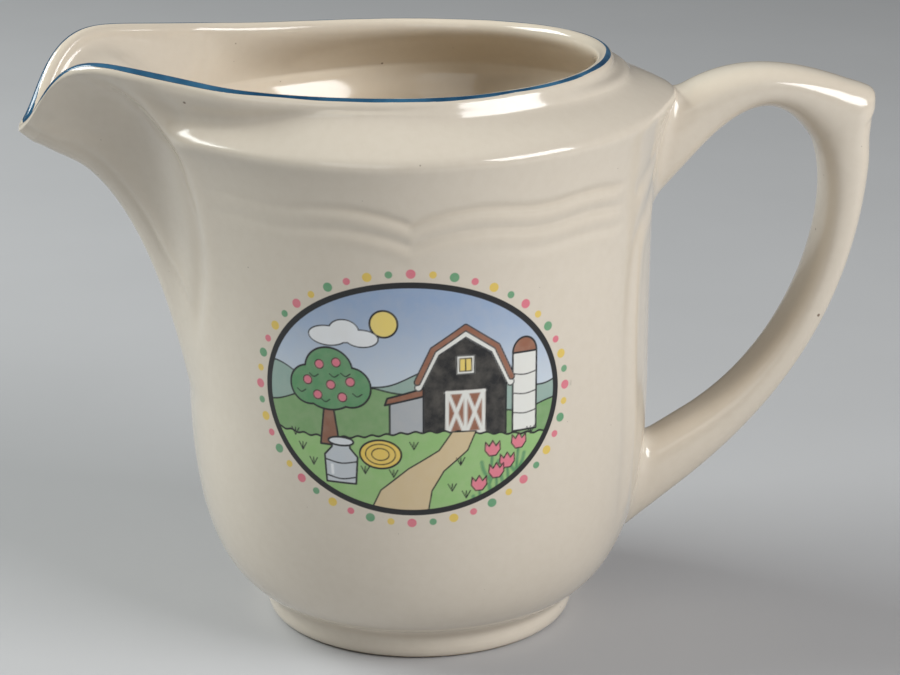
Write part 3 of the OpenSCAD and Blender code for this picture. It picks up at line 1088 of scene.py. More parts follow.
    def inside(self, angle: Array) -> Array:
        """Rows of the inside, from below the lip to the floor, at the inner lip's angles.

        Args:
            angle: Angles of the columns.

        Returns:
            A double curve under the lip that stays closer to the axis at the sides, as the neck
            does, then a wall that steps out below the shoulder, and the inner bowl.
        """
        lip = self.lip(angle, np.full(angle.shape, 180.0), 0 * angle)
        turned = np.degrees(np.arctan2(-lip[:, 1], -lip[:, 0]))
        top = self.shoulder(angle) - self.inner_drop
        up = stepped(1.0, self.inner_rows)[:, None] + 0 * angle
        t = self.rising(up)
        plain = self.inner_belly + self.inner_flare * ease(*self.inner_step, up)
        keel = self.inner_belly + self.inner_keel * cubic(self.inner_curve, t)
        spout = self.nose(turned, between(self.inner_width, t), self.inner_soft)
        tall = self.belly_height + (top - self.belly_height) * up
        wall = self.place(turned, plain + (keel - plain) * spout, tall)
        inward = self.fold_in * ease(*self.fold_start, np.abs(turned))
        fold = wall[0] + self.fold_up * UP - inward[:, None] * self.heading(turned)
        corners = np.stack([lip, lip - self.lip_down * UP, fold, wall[0]])
        weights = cubic(np.eye(4), np.linspace(0, 1, self.fold_rows + 1)[1:-1])
        cove = np.tensordot(weights, corners, axes=(1, 0))
        radius, height = self.inner_bowl()
        bowl = self.place(turned, radius[:, None] + 0 * angle, height[:, None] + 0 * angle)
        return np.concatenate([cove, wall, bowl])

    def inner_bowl(self) -> tuple[Array, Array]:
        """Radii and heights of the inside below the belly, down to near the floor's middle.

        Returns:
            The bowl's curve moved inwards by the wall along its normal, then the flat floor. A
            blur along the line rounds the corner between them.
        """
        t = np.linspace(1, 0, self.inner_bowl_rows)
        radius, height = self.bowl(t)
        across, along = np.gradient(radius, t), np.gradient(height, t)
        length = np.hypot(across, along)
        radius, height = radius - self.wall * along / length, height + self.wall * across / length
        flat = np.linspace(radius[-1], self.floor_hole, self.floor_rows)[1:]
        radius = np.concatenate([radius, flat])
        height = np.concatenate([height, np.full(len(flat), height[-1])])
        line = np.stack([radius, height], -1)
        gone, (size, width) = distance(line), self.floor_blur
        blur = self.least_blur / 2 + size * bell(gone - gone[len(t) - 1], width)
        line = blur_rows(line, gone, blur)[1:]
        return line[:, 0], line[:, 1]

    def build(self, glaze: bpy.types.Material) -> bpy.types.Object:
        """Builds the pot as one closed skin.

        Args:
            glaze: Its material.

        Returns:
            The piece, with the "pool" value and the "inner" value of painted inside shade on its
            points.
        """
        angle = self.spread()
        outside, raised = self.outside(angle)
        shares, first = np.linspace(0, 1, self.lip_rows), self.collar_turn * self.collar(angle)
        lip = np.stack(
            [self.lip(angle, between((first, 180.0), share), 0 * angle) for share in shares]
        )
        inside = self.inside(angle)
        rows = np.concatenate([outside, lip, inside])
        poles = np.array([[0, 0, self.base_height], [0, 0, rows[-1, 0, 2]]], float)
        points = np.concatenate([rows.reshape(-1, 3), poles])
        quads, ends = grid_quads(len(rows), self.columns), end_fans(len(rows), self.columns)
        piece = make_piece("pot", points, quads, ends)
        pool = np.zeros(rows.shape[:2])
        pool[: len(outside)] = np.clip(-raised / self.pool_depth, *self.pool_span)
        thin = swells(180.0 * shares, [self.lip_thin])[:, None]
        pool[len(outside) : len(outside) + len(lip)] = thin
        # Painted shade inside: the inner value rises from the rim downwards and tints the glaze
        # warmer and darker.
        inner = np.zeros(rows.shape[:2])
        inner[-len(inside) :] = ease(0.0, self.inside_shade, self.rim_height - inside[:, :, 2])
        paint_values(piece, "pool", np.concatenate([pool.ravel(), [0, 0]]))
        paint_values(piece, "inner", np.concatenate([inner.ravel(), [0, 1]]))
        settle(piece, glaze, ("body", "spout", "swag_relief"))
        return piece


@dataclass(frozen=True)
class Handle:
    """The pulled handle: an arch to the thumb spur and a strap back to the bowl, joined by fillets.

    Its two outlines are given in shares of its reach and rise. A fillet has its lengths on the
    handle's outer side, its flanks and its inner side.
    """

    pot: Pot = Pot()
    reach: float = 40.8
    foot: float = 16.0
    rise: float = 82.0
    arch_outer: Course = ((0.02, 0.917), (0.285, 1.041), (0.62, 1.030), (1.004, 0.947))
    arch_inner: Course = ((0.045, 0.722), (0.326, 0.908), (0.525, 0.995), (0.747, 0.837))
    strap_outer: Course = ((1.004, 0.947), (1.040, 0.545), (0.743, 0.236), (-0.03, -0.018))
    strap_inner: Course = ((0.747, 0.837), (0.902, 0.683), (0.688, 0.302), (0.075, 0.190))
    arch_start: float = 0.2
    arch_rows: int = 64
    arch_crowding: float = 1.5
    strap_end: float = 0.92
    strap_rows: int = 112
    strap_crowding: float = 1.4
    outer_square: float = 2.2
    inner_square: float = 2.6
    square_change: float = 0.7
    upper_width: float = 12.2
    middle_width: float = 12.3
    lower_width: float = 12.2
    width_change: float = 0.22
    least_blur: float = 0.03
    spur_blur: Blur = (0.65, 3.4)
    spur_blunt: float = 0.5
    blunt_heights: Span = (89.2, 91.0)
    blunt_reaches: Span = (77.5, 80.5)
    spur_hollow: Swell = (0.35, 85.5, 3.2)
    upper_fillet: Fillet = (3.2, 4.2, 3.4)
    lower_fillet: Fillet = (3.0, 4.4, 5.0)
    fillet_limit: float = 0.92
    fillet_rows: int = 12
    straight_rows: int = 4
    longest_way: float = 22.0
    slope_step: float = 0.3
    sunk: float = 0.12
    pole_sunk: float = 0.94
    blend: float = 2.4
    blend_rows: int = 5
    edge_thin: float = 0.55
    edge_width: float = 0.3
    root_pool: float = 0.5
    around: int = 56

    def turn(self) -> Array:
        """Angles round a section, from its outer side."""
        return np.linspace(0, 2 * np.pi, self.around, endpoint=False)

    def outline(self, arch: Course, strap: Course, shares: tuple[Array, Array]) -> Array:
        """Side-view points of one outline.

        Args:
            arch: Control points of its arch.
            strap: Control points of its strap.
            shares: Places along the arch and along the strap.

        Returns:
            Points along the two cubic curves, one after the other.
        """
        share = np.concatenate([cubic(arch, shares[0]), cubic(strap, shares[1])])
        start = np.array([self.pot.belly_radius, self.foot])
        return start + np.array([self.reach, self.rise]) * share

    def rails(self) -> tuple[Array, Array, Array]:
        """The two outlines from the arch's start to the strap's end.

        Returns:
            Outer points, inner points, and the share along the handle. The spur's end is made
            blunt, with a slight hollow below, and a blur along the outline rounds its corner.
        """
        arch = 1 - (1 - np.linspace(0, 1, self.arch_rows)) ** self.arch_crowding
        arch = self.arch_start + (1 - self.arch_start) * arch
        strap = self.strap_end * np.linspace(0, 1, self.strap_rows)[1:] ** self.strap_crowding
        outer = self.outline(self.arch_outer, self.strap_outer, (arch, strap))
        inner = self.outline(self.arch_inner, self.strap_inner, (arch, strap))
        share = np.concatenate([arch / 2, 0.5 + strap / 2])
        length = distance(outer)
        past = length - length[len(arch) - 1]
        blunt = ease(*self.blunt_heights, outer[:, 1]) * ease(*self.blunt_reaches, outer[:, 0])
        hollow = swells(outer[:, 1], [self.spur_hollow]) * (past > 0)
        outer[:, 0] += self.spur_blunt * blunt - hollow
        size, width = self.spur_blur
        return blur_rows(outer, length, self.least_blur + size * bell(past, width)), inner, share

    def rings(self, outer: Array, inner: Array, share: Array) -> Array:
        """Sections across the handle.

        Args:
            outer: Points of the outer outline.
            inner: Points of the inner outline.
            share: Share along the handle.

        Returns:
            Rings of points. Each is a superellipse: its one axis joins the two outlines, and its
            other is the handle's width. It is squarer on the inner side.
        """
        turn = self.turn()
        change = ease(-self.square_change, self.square_change, np.cos(turn))
        power = 2.0 / between((self.inner_square, self.outer_square), change)
        tall, wide = (np.sign(x) * np.abs(x) ** power for x in (np.cos(turn), np.sin(turn)))
        upper = (self.upper_width - self.middle_width) * bell(share, self.width_change)
        lower = (self.lower_width - self.middle_width) * bell(1 - share, self.width_change)
        width = self.middle_width + upper + lower
        middle, half = (outer + inner) / 2, (outer - inner) / 2
        flat = middle[:, None, :] + half[:, None, :] * tall[None, :, None]
        across = width[:, None] / 2 * wide[None, :]
        return np.stack([flat[..., 0], across, flat[..., 1]], -1)

    def wall(self, points: Array) -> Array:
        """Radius of the pot's outside at each point's angle, as the mean over nearby heights."""
        angle = np.degrees(np.arctan2(-points[:, 1], -points[:, 0]))
        heights = points[:, 2] + np.linspace(-self.blend, self.blend, self.blend_rows)[:, None]
        return np.mean(self.pot.reach(np.broadcast_to(angle, heights.shape), heights), axis=0)

    def meet_wall(self, start: Array, way: Array) -> Array:
        """Where lines from points outside meet the pot's wall, found by halving."""
        near, far = np.zeros(len(start)), np.full(len(start), self.longest_way)
        for _ in range(HALVINGS):
            middle = (near + far) / 2
            point = start + middle[:, None] * way
            out = np.hypot(point[:, 0], point[:, 1]) > self.wall(point)
            near, far = np.where(out, middle, near), np.where(out, far, middle)
        return start + far[:, None] * way

    def root(self, ring: Array, inner_ring: Array, fillet: Fillet) -> Array:
        """Rows that carry an end ring into the wall with a fillet.

        Args:
            ring: The handle's end ring.
            inner_ring: The ring before it, which gives the way that the handle goes.
            fillet: Lengths of the fillet on the handle's outer side, its flanks and its inner side.

        Returns:
            Rows along straight lines to near the wall, then along a quadratic curve whose middle
            point is where the line meets the wall, and whose end is spread out along the wall.
        """
        way = unit(ring - inner_ring)
        hit = self.meet_wall(ring, way)
        gap = np.linalg.norm(hit - ring, axis=1, keepdims=True)
        turn = self.turn()[:, None]
        outer, flank, inner = fillet
        lengths = np.where(np.cos(turn) > 0, outer, inner) * np.cos(turn) ** 2
        lengths = np.minimum(lengths + flank * np.sin(turn) ** 2, self.fillet_limit * gap)
        step = self.slope_step * UP
        slope = (self.wall(hit + step) - self.wall(hit - step)) / (2 * self.slope_step)
        normal = unit(hit * (1 - UP))
        normal = unit(normal - slope[:, None] * UP)
        away = hit - hit.mean(0)
        away = unit(away - np.sum(away * normal, 1, keepdims=True) * normal)
        end = hit + lengths * away
        end[:, :2] *= ((self.wall(end) - self.sunk) / np.hypot(end[:, 0], end[:, 1]))[:, None]
        begin = hit - lengths * way
        s = np.linspace(0, 1, self.straight_rows + 2)[1:-1, None, None]
        straight = ring + (begin - ring) * s
        s = np.linspace(0, 1, self.fillet_rows)[:, None, None]
        curve = (1 - s) ** 2 * begin + 2 * s * (1 - s) * hit + s**2 * end
        return np.concatenate([straight, curve])

    def build(self, glaze: bpy.types.Material) -> bpy.types.Object:
        """Builds the handle as one closed skin from joint to joint.

        Args:
            glaze: Its material.

        Returns:
            The piece, with the "pool" value on its points.
        """
        rings = self.rings(*self.rails())
        upper = self.root(rings[0], rings[1], self.upper_fillet)
        lower = self.root(rings[-1], rings[-2], self.lower_fillet)
        rows = np.concatenate([upper[::-1], rings, lower])
        inwards = np.array([self.pole_sunk, self.pole_sunk, 1.0])
        poles = np.stack([rows[0].mean(0) * inwards, rows[-1].mean(0) * inwards])
        points = np.concatenate([rows.reshape(-1, 3), poles])
        quads = grid_quads(len(rows), self.around)[:, ::-1]
        ends = end_fans(len(rows), self.around)[:, ::-1]
        piece = make_piece("handle_strap", points, quads, ends)
        edge = -self.edge_thin * bell(np.abs(np.sin(2 * self.turn())) - 1, self.edge_width)
        free = np.concatenate(
            [np.linspace(0, 1, len(upper)), np.ones(len(rings)), np.linspace(1, 0, len(lower))]
        )[:, None]
        pool = self.root_pool * (1 - free) + edge * free
        paint_values(piece, "pool", np.concatenate([pool.ravel(), [0, 0]]))
        settle(piece, glaze, ("handle", "upper_handle_slip", "lower_handle_slip"))
        return piece


@dataclass(frozen=True)
class Foot:
    """The turned foot ring: glazed outside, wiped dry on the land that it stands on."""

    profile: Course = (
        (23.2, 5.5), (23.3, 4.2), (23.5, 2.0), (23.7, 0.8), (24.1, 0.15), (24.6, 0.0), (25.4, 0.0),
        (26.2, 0.0), (26.8, 0.12), (27.4, 0.55), (27.8, 1.3), (28.0, 2.2), (28.05, 3.0),
        (28.1, 3.7), (28.3, 4.4), (28.75, 5.1), (29.4, 5.75), (30.1, 6.35), (29.6, 6.6),
        (28.0, 6.6),
    )
    dry_height: float = 0.45
    dry_blur: float = 0.3
    hollow: Swell = (0.8, 4.9, 0.8)
    columns: int = 240
    rows: int = 72

    def build(self, clay: bpy.types.Material) -> bpy.types.Object:
        """Builds the ring by carrying its profile round the axis.

        Args:
            clay: Its material.

        Returns:
            The piece, with the "dry" and "pool" values on its points.
        """
        line = through(self.profile, self.rows)
        line[:, 1] = np.clip(line[:, 1], 0.0, None)
        turn = np.linspace(0, 2 * np.pi, self.columns, endpoint=False)
        radius, height = line[:, :1] + 0 * turn, line[:, 1:] + 0 * turn
        points = np.stack([-radius * np.cos(turn), -radius * np.sin(turn), height], -1)
        quads = grid_quads(self.rows, self.columns, wrap_rows=True)
        piece = make_piece("foot", points.reshape(-1, 3), quads)
        dry = 1 - ease(self.dry_height - self.dry_blur, self.dry_height + self.dry_blur, height)
        paint_values(piece, "dry", dry)
        paint_values(piece, "pool", swells(height, [self.hollow]))
        settle(piece, clay, ("foot_ring",))
        return piece


@dataclass(frozen=True)
class RimLine:
    """The thin blue line that is painted by hand along the outside of the lip.

    Its place is in degrees round the lip. A wave is its size, its turns round the jug and its
    start in radians.
    """

    pot: Pot = Pot()
    middle: float = 70.0
    drift_swells: Sequence[Swell] = ((-34.0, 8.0, 4.0), (18.0, 0.0, 3.0))
    drift_waves: Sequence[Wave] = ((2.0, 3, 1.0), (1.2, 8, 0.0))
    width: float = 1.05
    width_swells: Sequence[Swell] = ((0.35, 0.0, 16.0), (0.5, 28.0, 14.0), (-0.2, 180.0, 50.0))
    width_waves: Sequence[Wave] = ((0.10, 5, 0.6), (0.08, 11, 2.0), (0.06, 23, 4.0))
    load: float = 0.55
    load_waves: Sequence[Wave] = ((0.3, 7, 1.7), (0.2, 17, 0.0))
    load_edge: float = 0.5
    proud: float = 0.03
    edge_sunk: float = 0.004
    buried: float = 0.12
    face: Sequence[float] = (-1, -0.8, -0.45, 0, 0.45, 0.8, 1)
    underside: Sequence[float] = (0.5, -0.5)
    crowding: float = 12.0
    columns: int = 900

    def build(self, paint: bpy.types.Material) -> bpy.types.Object:
        """Builds the line as a closed lens-shaped ribbon on the lip.

        Args:
            paint: Its material.

        Returns:
            The piece, with the "load" value on its points. Its width is a sum of slow waves.
        """
        fine = np.linspace(-180, 180, self.columns + 1)[:-1]
        angle = fine - self.crowding * np.sin(np.radians(fine))
        phase, away = np.radians(angle), np.abs(angle)
        waver = 1 + waves(phase, self.width_waves) + swells(away, self.width_swells)
        half = np.degrees(self.width * waver / 2 / self.pot.lip_round)
        drift = self.middle + swells(away, self.drift_swells) + waves(phase, self.drift_waves)
        across = np.array([*self.face, *self.underside])
        shown = np.arange(len(across)) < len(self.face)
        lift = np.where(shown, self.proud * (1 - across**2) - self.edge_sunk, -self.buried)
        turn = drift[None, :] + half[None, :] * across[:, None]
        spread = np.broadcast_to(angle, turn.shape)
        points = self.pot.lip(spread, turn, lift[:, None] + 0 * turn)
        quads = grid_quads(len(across), self.columns, wrap_rows=True)
        piece = make_piece("rim_stripe", points.reshape(-1, 3), quads)
        load = self.load + waves(phase, self.load_waves)
        paint_values(piece, "load", load[None, :] - self.load_edge * across[:, None] ** 4)
        settle(piece, paint, ("rim_line",))
        return piece


class Drawing:
    """A picture in flat colours and black lines on a field of points, drawn from back to front."""

    SOFT = 0.22
    BLANK = 9.0
    STEPS = 5

    def __init__(self, u: Array, v: Array, frame_gap: Array, base: Colour) -> None:
        """Starts with an empty sheet.

        Args:
            u: Millimetres to the right of the middle.
            v: Millimetres above the middle.
            frame_gap: Distance outside the frame that all shapes are cut by.
            base: First colour all over.
        """
        self.u, self.v, self.frame_gap = u, v, frame_gap
        self.paint = np.ones(u.shape + (3,)) * np.asarray(base)
        self.ink = np.full(u.shape, self.BLANK)

    def disc(self, x: float, y: float, rx: float, ry: float | None = None) -> Array:
        """Distance outside an ellipse, by its level over the steepness of its level."""
        ry = rx if ry is None else ry
        du, dv = self.u - x, self.v - y
        level = np.hypot(du / rx, dv / ry)
        steep = np.hypot(du / rx**2, dv / ry**2)
        return np.where(steep > 1e-9, level * (level - 1) / np.maximum(steep, 1e-9), -min(rx, ry))

    def discs(self, *sizes: tuple[float, ...]) -> Array:
        """Distance outside ellipses that run together."""
        return np.minimum.reduce([self.disc(*size) for size in sizes])

    def outline(self, points: Course) -> Array:
        """Distance outside a polygon: to its nearest side, below 0 inside by counting crossings."""
        p = np.asarray(points, float)
        gap = off_course(np.vstack([p, p[:1]]), self.u, self.v)[0]
        inside = np.zeros(self.u.shape, bool)
        for (x0, y0), (x1, y1) in zip(p, np.roll(p, -1, 0)):
            if y0 != y1:
                cross = x0 + (self.v - y0) * (x1 - x0) / (y1 - y0)
                inside ^= ((y0 > self.v) != (y1 > self.v)) & (self.u < cross)
        return np.where(inside, -gap, gap)

    def box(self, left: float, low: float, right: float, high: float) -> Array:
        """Distance outside an upright rectangle."""
        return self.outline([(left, low), (left, high), (right, high), (right, low)])

    def bars(self, points: Course, width: float) -> Array:
        """Distance outside straight bars from point to point."""
        return off_course(np.asarray(points, float), self.u, self.v)[0] - width / 2

    def stroke(self, points: Course, width: float) -> Array:
        """Distance outside a brush line through points."""
        return self.bars(through(points, self.STEPS * len(points)), width)

    def fill(self, gap: Array, colour: object, line: float = 0.0) -> None:
        """Lays a shape over what is drawn, in one colour or a field of colours.

        Args:
            gap: Distance outside the shape.
            colour: A colour, or one for each point.
            line: Width of the black line round the shape, or 0 for none.
        """
        gap = np.maximum(gap, self.frame_gap)
        share = np.clip(0.5 - gap / self.SOFT, 0, 1)[..., None]
        self.paint = self.paint * (1 - share) + np.asarray(colour) * share
        self.ink = np.maximum(self.ink, -gap)
        if line:
            self.ink = np.minimum(self.ink, np.abs(gap) - line / 2)

    def draw(self, gap: Array) -> None:
        """Adds black where a distance is below 0, inside the frame."""
        self.ink = np.minimum(self.ink, np.maximum(gap, self.frame_gap))


@dataclass(frozen=True)
class Palette:
    """The print's colours."""

    sheet: Colour = srgb(205, 198, 184)
    low_sky: Colour = srgb(206, 216, 226)
    high_sky: Colour = srgb(146, 168, 200)
    sun: Colour = srgb(240, 215, 120)
    cloud: Colour = srgb(236, 238, 240)
    far_hill: Colour = srgb(150, 176, 166)
    hill: Colour = srgb(124, 164, 108)
    meadow: Colour = srgb(150, 192, 122)
    path: Colour = srgb(214, 192, 152)
    white: Colour = srgb(232, 232, 226)
    black: Colour = srgb(22, 22, 24)
    brown: Colour = srgb(150, 98, 74)
    grey: Colour = srgb(176, 180, 184)
    pane: Colour = srgb(236, 208, 110)
    trunk: Colour = srgb(142, 96, 74)
    leaf: Colour = srgb(96, 152, 104)
    pink: Colour = srgb(226, 122, 140)
    bale: Colour = srgb(236, 202, 92)
    churn: Colour = srgb(198, 204, 210)
    churn_lid: Colour = srgb(222, 226, 230)
    gleam: Colour = srgb(240, 242, 244)
    stem: Colour = srgb(84, 140, 92)
    blade: Colour = srgb(92, 150, 98)
    dots: Sequence[Colour] = (srgb(222, 118, 134), srgb(104, 160, 118), srgb(228, 196, 92))


@dataclass(frozen=True)
class Picture:
    """The printed patch: an oval farmyard view with a border of dots, on the wall's own curve.

    The view's shapes are given in millimetres right of and above its middle.
    """

    pot: Pot = Pot()
    tints: Palette = Palette()
    centre_angle: float = 80.0
    centre_height: float = 53.0
    half_width: float = 30.0
    half_height: float = 24.0
    degrees_per_mm: float = 1.3907
    lift: float = 0.02
    edge_drop: float = 1.4
    edge_start: float = 0.88
    oval: tuple[float, float] = (25.5, 20.0)
    oval_line: float = 1.1
    oval_edge: float = 0.5
    border: tuple[float, float] = (27.5, 21.9)
    dots: int = 48
    dot_sizes: tuple[float, float] = (0.8, 0.62)
    dot_paint: float = 0.4
    field_limit: float = 2.0
    cells: int = 280
    line: float = 0.34
    hill_line: float = 0.26
    fine_line: float = 0.24
    hair_line: float = 0.22
    pane_line: float = 0.2

    def farmyard(self, art: Drawing) -> None:
        """Draws sky, hills, barn, silo, meadow, tree, churn, bale and tulips.

        Args:
            art: The sheet to draw on.
        """
        u, v, tints = art.u, art.v, self.tints
        high = ease(-2, 20, v)[..., None]
        low_sky, high_sky = np.array(tints.low_sky), np.array(tints.high_sky)
        art.fill(art.frame_gap, low_sky * (1 - high) + high_sky * high)
        art.fill(art.disc(-4.5, 13.2, 2.3), tints.sun, self.line)
        cloud = art.discs((-14, 10.6, 3.4, 1.7), (-11.2, 11.6, 2.6, 2.0), (-8.2, 10.5, 2.8, 1.5))
        art.fill(cloud, tints.cloud, self.fine_line)
        far = v - (3.2 + 1.7 * np.sin(u / 5.2 + 0.6) + 0.5 * np.sin(u / 2.1))
        art.fill(far * 0.9, tints.far_hill, self.hill_line)
        hill = v - (-0.4 + 2.2 * np.sin(u / 8.0 + 2.4) + 0.3 * np.sin(u / 1.7))
        art.fill(hill * 0.92, tints.hill, self.hill_line)
        self.buildings(art)
        meadow = v - (-6.4 + 0.9 * np.sin(u / 6.5 + 1.0) + 0.16 * np.sin(u * 2.6))
        art.fill(meadow * 0.95, tints.meadow, self.line)
        path = [
            (6.8, -5.6), (10.8, -5.7), (9.4, -9), (5.4, -12.5), (3.4, -16), (2.6, -21), (-7.5, -21),
            (-5.2, -16), (-0.5, -12), (4.6, -8.8),
        ]
        art.fill(art.outline(path), tints.path, self.hill_line)
        self.tree(art)
        self.yard(art)
        self.tulips(art)

    def buildings(self, art: Drawing) -> None:
        """Draws the barn with its gambrel roof and crossed door, its silo and a lean-to.

        Args:
            art: The sheet to draw on.
        """
        tints, line = self.tints, self.line
        art.fill(art.box(17.2, -6.5, 21.6, 7.2), tints.white, line)
        art.fill(np.maximum(art.disc(19.4, 7.2, 2.2, 2.6), 7.2 - art.v), tints.brown, line)
        for level in (-3.2, 0.2, 3.6):
            hoop = [(17.2, level), (19.4, level - 0.35), (21.6, level)]
            art.draw(art.stroke(hoop, self.hair_line))
        shed = [(-3.6, -6.4), (-3.6, -0.6), (2.4, 1.2), (2.4, -6.4)]
        art.fill(art.outline(shed), tints.grey, line)
        shed_roof = [(-4.4, -0.9), (-4.0, 0.3), (2.6, 2.3), (2.6, 0.9)]
        art.fill(art.outline(shed_roof), tints.brown, line)
        wall = [
            (2.0, -6.6), (2.0, 2.8), (4.6, 7.9), (9.0, 10.8), (13.4, 7.9), (16.0, 2.8),
            (16.0, -6.6),
        ]
        art.fill(art.outline(wall), tints.black, line)
        eaves = [(1.2, 2.3), (4.1, 8.3), (9.0, 11.5), (13.9, 8.3), (16.8, 2.3)]
        art.fill(art.bars(eaves, 1.24), tints.white, self.fine_line)
        roof = [(1.0, 3.2), (3.6, 8.8), (9.0, 12.5), (14.4, 8.8), (17.0, 3.2)]
        art.fill(art.bars(roof, 1.0), tints.brown, self.fine_line)
        art.fill(art.box(7.5, 4.4, 10.5, 7.6), tints.white, self.pane_line)
        art.fill(art.box(8.0, 4.9, 10.0, 7.1), tints.pane, self.pane_line)
        art.draw(art.stroke([(9.0, 4.9), (9.0, 7.1)], self.fine_line))
        art.fill(art.box(5.6, -6.6, 12.4, 1.6), tints.brown, line)
        for rail in (
            [(5.9, -6.2), (5.9, 1.3)], [(12.1, -6.2), (12.1, 1.3)], [(9.0, -6.2), (9.0, 1.3)],
            [(5.8, 1.3), (12.2, 1.3)], [(5.8, -5.9), (12.2, -5.9)],
            [(6.1, -5.8), (8.8, 1.1)], [(6.1, 1.1), (8.8, -5.8)],
            [(9.2, -5.8), (11.9, 1.1)], [(9.2, 1.1), (11.9, -5.8)],
        ):
            art.fill(art.stroke(rail, 0.62), tints.white)

    def tree(self, art: Drawing) -> None:
        """Draws the tree with its blossoms and leaves.

        Args:
            art: The sheet to draw on.
        """
        trunk = [(-15.6, -8.6), (-14.9, -2), (-15.4, 1.5), (-12.6, 1.5), (-13.2, -2), (-12.2, -8.6)]
        art.fill(art.outline(trunk), self.tints.trunk, self.line)
        crown = art.discs(
            (-17.6, 1.6, 3.4), (-14, 4.6, 4.2, 3.9), (-10.2, 1.8, 3.5), (-14, 0.6, 4.4, 3.0)
        )
        art.fill(crown, self.tints.leaf, self.line)
        for x, y in (
            (-17.8, 2.4), (-15.6, 5.4), (-12.6, 6.0), (-10.2, 2.8), (-13.6, 2.0), (-16.0, 0.0),
            (-11.6, 0.0),
        ):
            art.fill(art.disc(x, y, 0.78), self.tints.pink, self.pane_line)
        for x, y in (
            (-19.0, 0.6), (-16.6, 3.6), (-13.0, 3.9), (-11.0, 4.2), (-14.6, -0.6), (-9.0, 0.8),
        ):
            art.draw(art.stroke([(x - 0.8, y), (x, y - 0.5), (x + 0.8, y)], self.hair_line))

    def yard(self, art: Drawing) -> None:
        """Draws the bale and the churn.

        Args:
            art: The sheet to draw on.
        """
        x, y, rx, ry = -5.2, -9.6, 3.5, 2.5
        art.fill(art.disc(x, y, rx, ry), self.tints.bale, self.line)
        for share in (0.72, 0.42):
            art.draw(np.abs(art.disc(x, y, rx * share, ry * share)) - self.hair_line / 2)
        churn = [
            (-14.6, -15.2), (-14.9, -10.4), (-13.6, -8.9), (-13.6, -7.9), (-10.4, -7.9),
            (-10.4, -8.9), (-9.1, -10.4), (-9.4, -15.2),
        ]
        art.fill(art.outline(churn), self.tints.churn, self.line)
        art.fill(art.disc(-12.0, -7.8, 2.2, 0.75), self.tints.churn_lid, self.line)
        for band in (
            [(-14.8, -11.2), (-12, -11.7), (-9.2, -11.2)],
            [(-14.7, -14.0), (-12, -14.5), (-9.3, -14.0)],
        ):
            art.draw(art.stroke(band, self.hill_line))
        art.fill(art.stroke([(-13.6, -12.2), (-13.5, -13.6)], 0.5), self.tints.gleam)

    def tulips(self, art: Drawing) -> None:
        """Draws the tulips and the tufts of grass.

        Args:
            art: The sheet to draw on.
        """
        flowers = (
            (11.4, -15.6, 0.5), (13.7, -9.6, -0.4), (16.3, -12.0, 0.4), (18.4, -8.8, -0.5),
            (14.4, -13.6, 0.2),
        )
        for x, y, lean in flowers:
            stem = [(x + lean, y - 5.6), (x + lean / 2, y - 2.6), (x, y)]
            art.fill(art.stroke(stem, 0.5), self.tints.stem)
            foot = x + lean
            for hand in (-1.0, 1.0):
                tip, bend = (foot + 1.5 * hand, y - 1.8), (foot + 1.1 * hand, y - 3.4)
                blade = [(foot, y - 5.2), bend, tip]
                art.fill(art.stroke(blade, 0.62), self.tints.blade)
        cup = np.array([
            (-1.25, 1.7), (-1.35, 0.2), (-0.6, -0.8), (0.6, -0.8), (1.35, 0.2), (1.25, 1.7),
            (0.6, 0.9), (0, 1.9), (-0.6, 0.9),
        ])
        for x, y, _ in flowers:
            art.fill(art.outline(cup + np.array([x, y])), self.tints.pink, self.fine_line)
        for x, y in (
            (-19, -10.2), (-17, -12.6), (-3, -13.6), (-7.8, -13.2), (6.8, -16.2), (8.2, -11.6),
            (-20.4, -7.8), (20.6, -7.4), (0.4, -8.6), (9.2, -17.6),
        ):
            for tip in (-0.7, 0.0, 0.7):
                art.draw(art.stroke([(x, y), (x + tip, y + 1.3)], self.hair_line))

    def build(self, finish: bpy.types.Material) -> bpy.types.Object:
        """Builds the patch as a square sheet of cells drawn out to an ellipse on the wall.

        Args:
            finish: Its material.

        Returns:
            The piece, with the "paint", "ink" and "cover" fields on its points. A square's point
            goes to the disc by shrinking each side by half the square of the other.
        """
        side = np.linspace(-1, 1, self.cells)
        x, y = np.meshgrid(side, side, indexing="xy")
        x, y = x * np.sqrt(1 - y**2 / 2), y * np.sqrt(1 - x**2 / 2)
        u, v = self.half_width * x, self.half_height * y
        angle = self.centre_angle + self.degrees_per_mm * u
        height = self.centre_height + v
        lift = self.lift * (1 - self.edge_drop * ease(self.edge_start, 1.0, np.hypot(x, y)))
        radius = self.pot.skin(angle, height) + lift
        points = self.pot.place(angle, radius, height)
        quads = grid_quads(self.cells, self.cells, wrap=False)
        piece = make_piece("printed_patch", points.reshape(-1, 3), quads)
        art = Drawing(u, v, np.zeros(u.shape), self.tints.sheet)
        art.frame_gap = art.disc(0, 0, *self.oval)
        self.farmyard(art)
        art.ink = np.minimum(art.ink, np.abs(art.frame_gap) - self.oval_line / 2)
        cover = art.frame_gap - self.oval_edge
        for k in range(self.dots):
            turn = 2 * np.pi * k / self.dots
            place = self.border[0] * np.cos(turn), self.border[1] * np.sin(turn)
            dot = art.disc(*place, self.dot_sizes[k % 2])
            tint = np.asarray(self.tints.dots[k % 3])
            art.paint = np.where((dot < self.dot_paint)[..., None], tint, art.paint)
            cover = np.minimum(cover, dot)
        paint_colours(piece, "paint", art.paint)
        for name, field in (("ink", art.ink), ("cover", cover)):
            paint_values(piece, name, np.clip(field, -self.field_limit, self.field_limit))
        settle(piece, finish, ("picture",))
        return piece


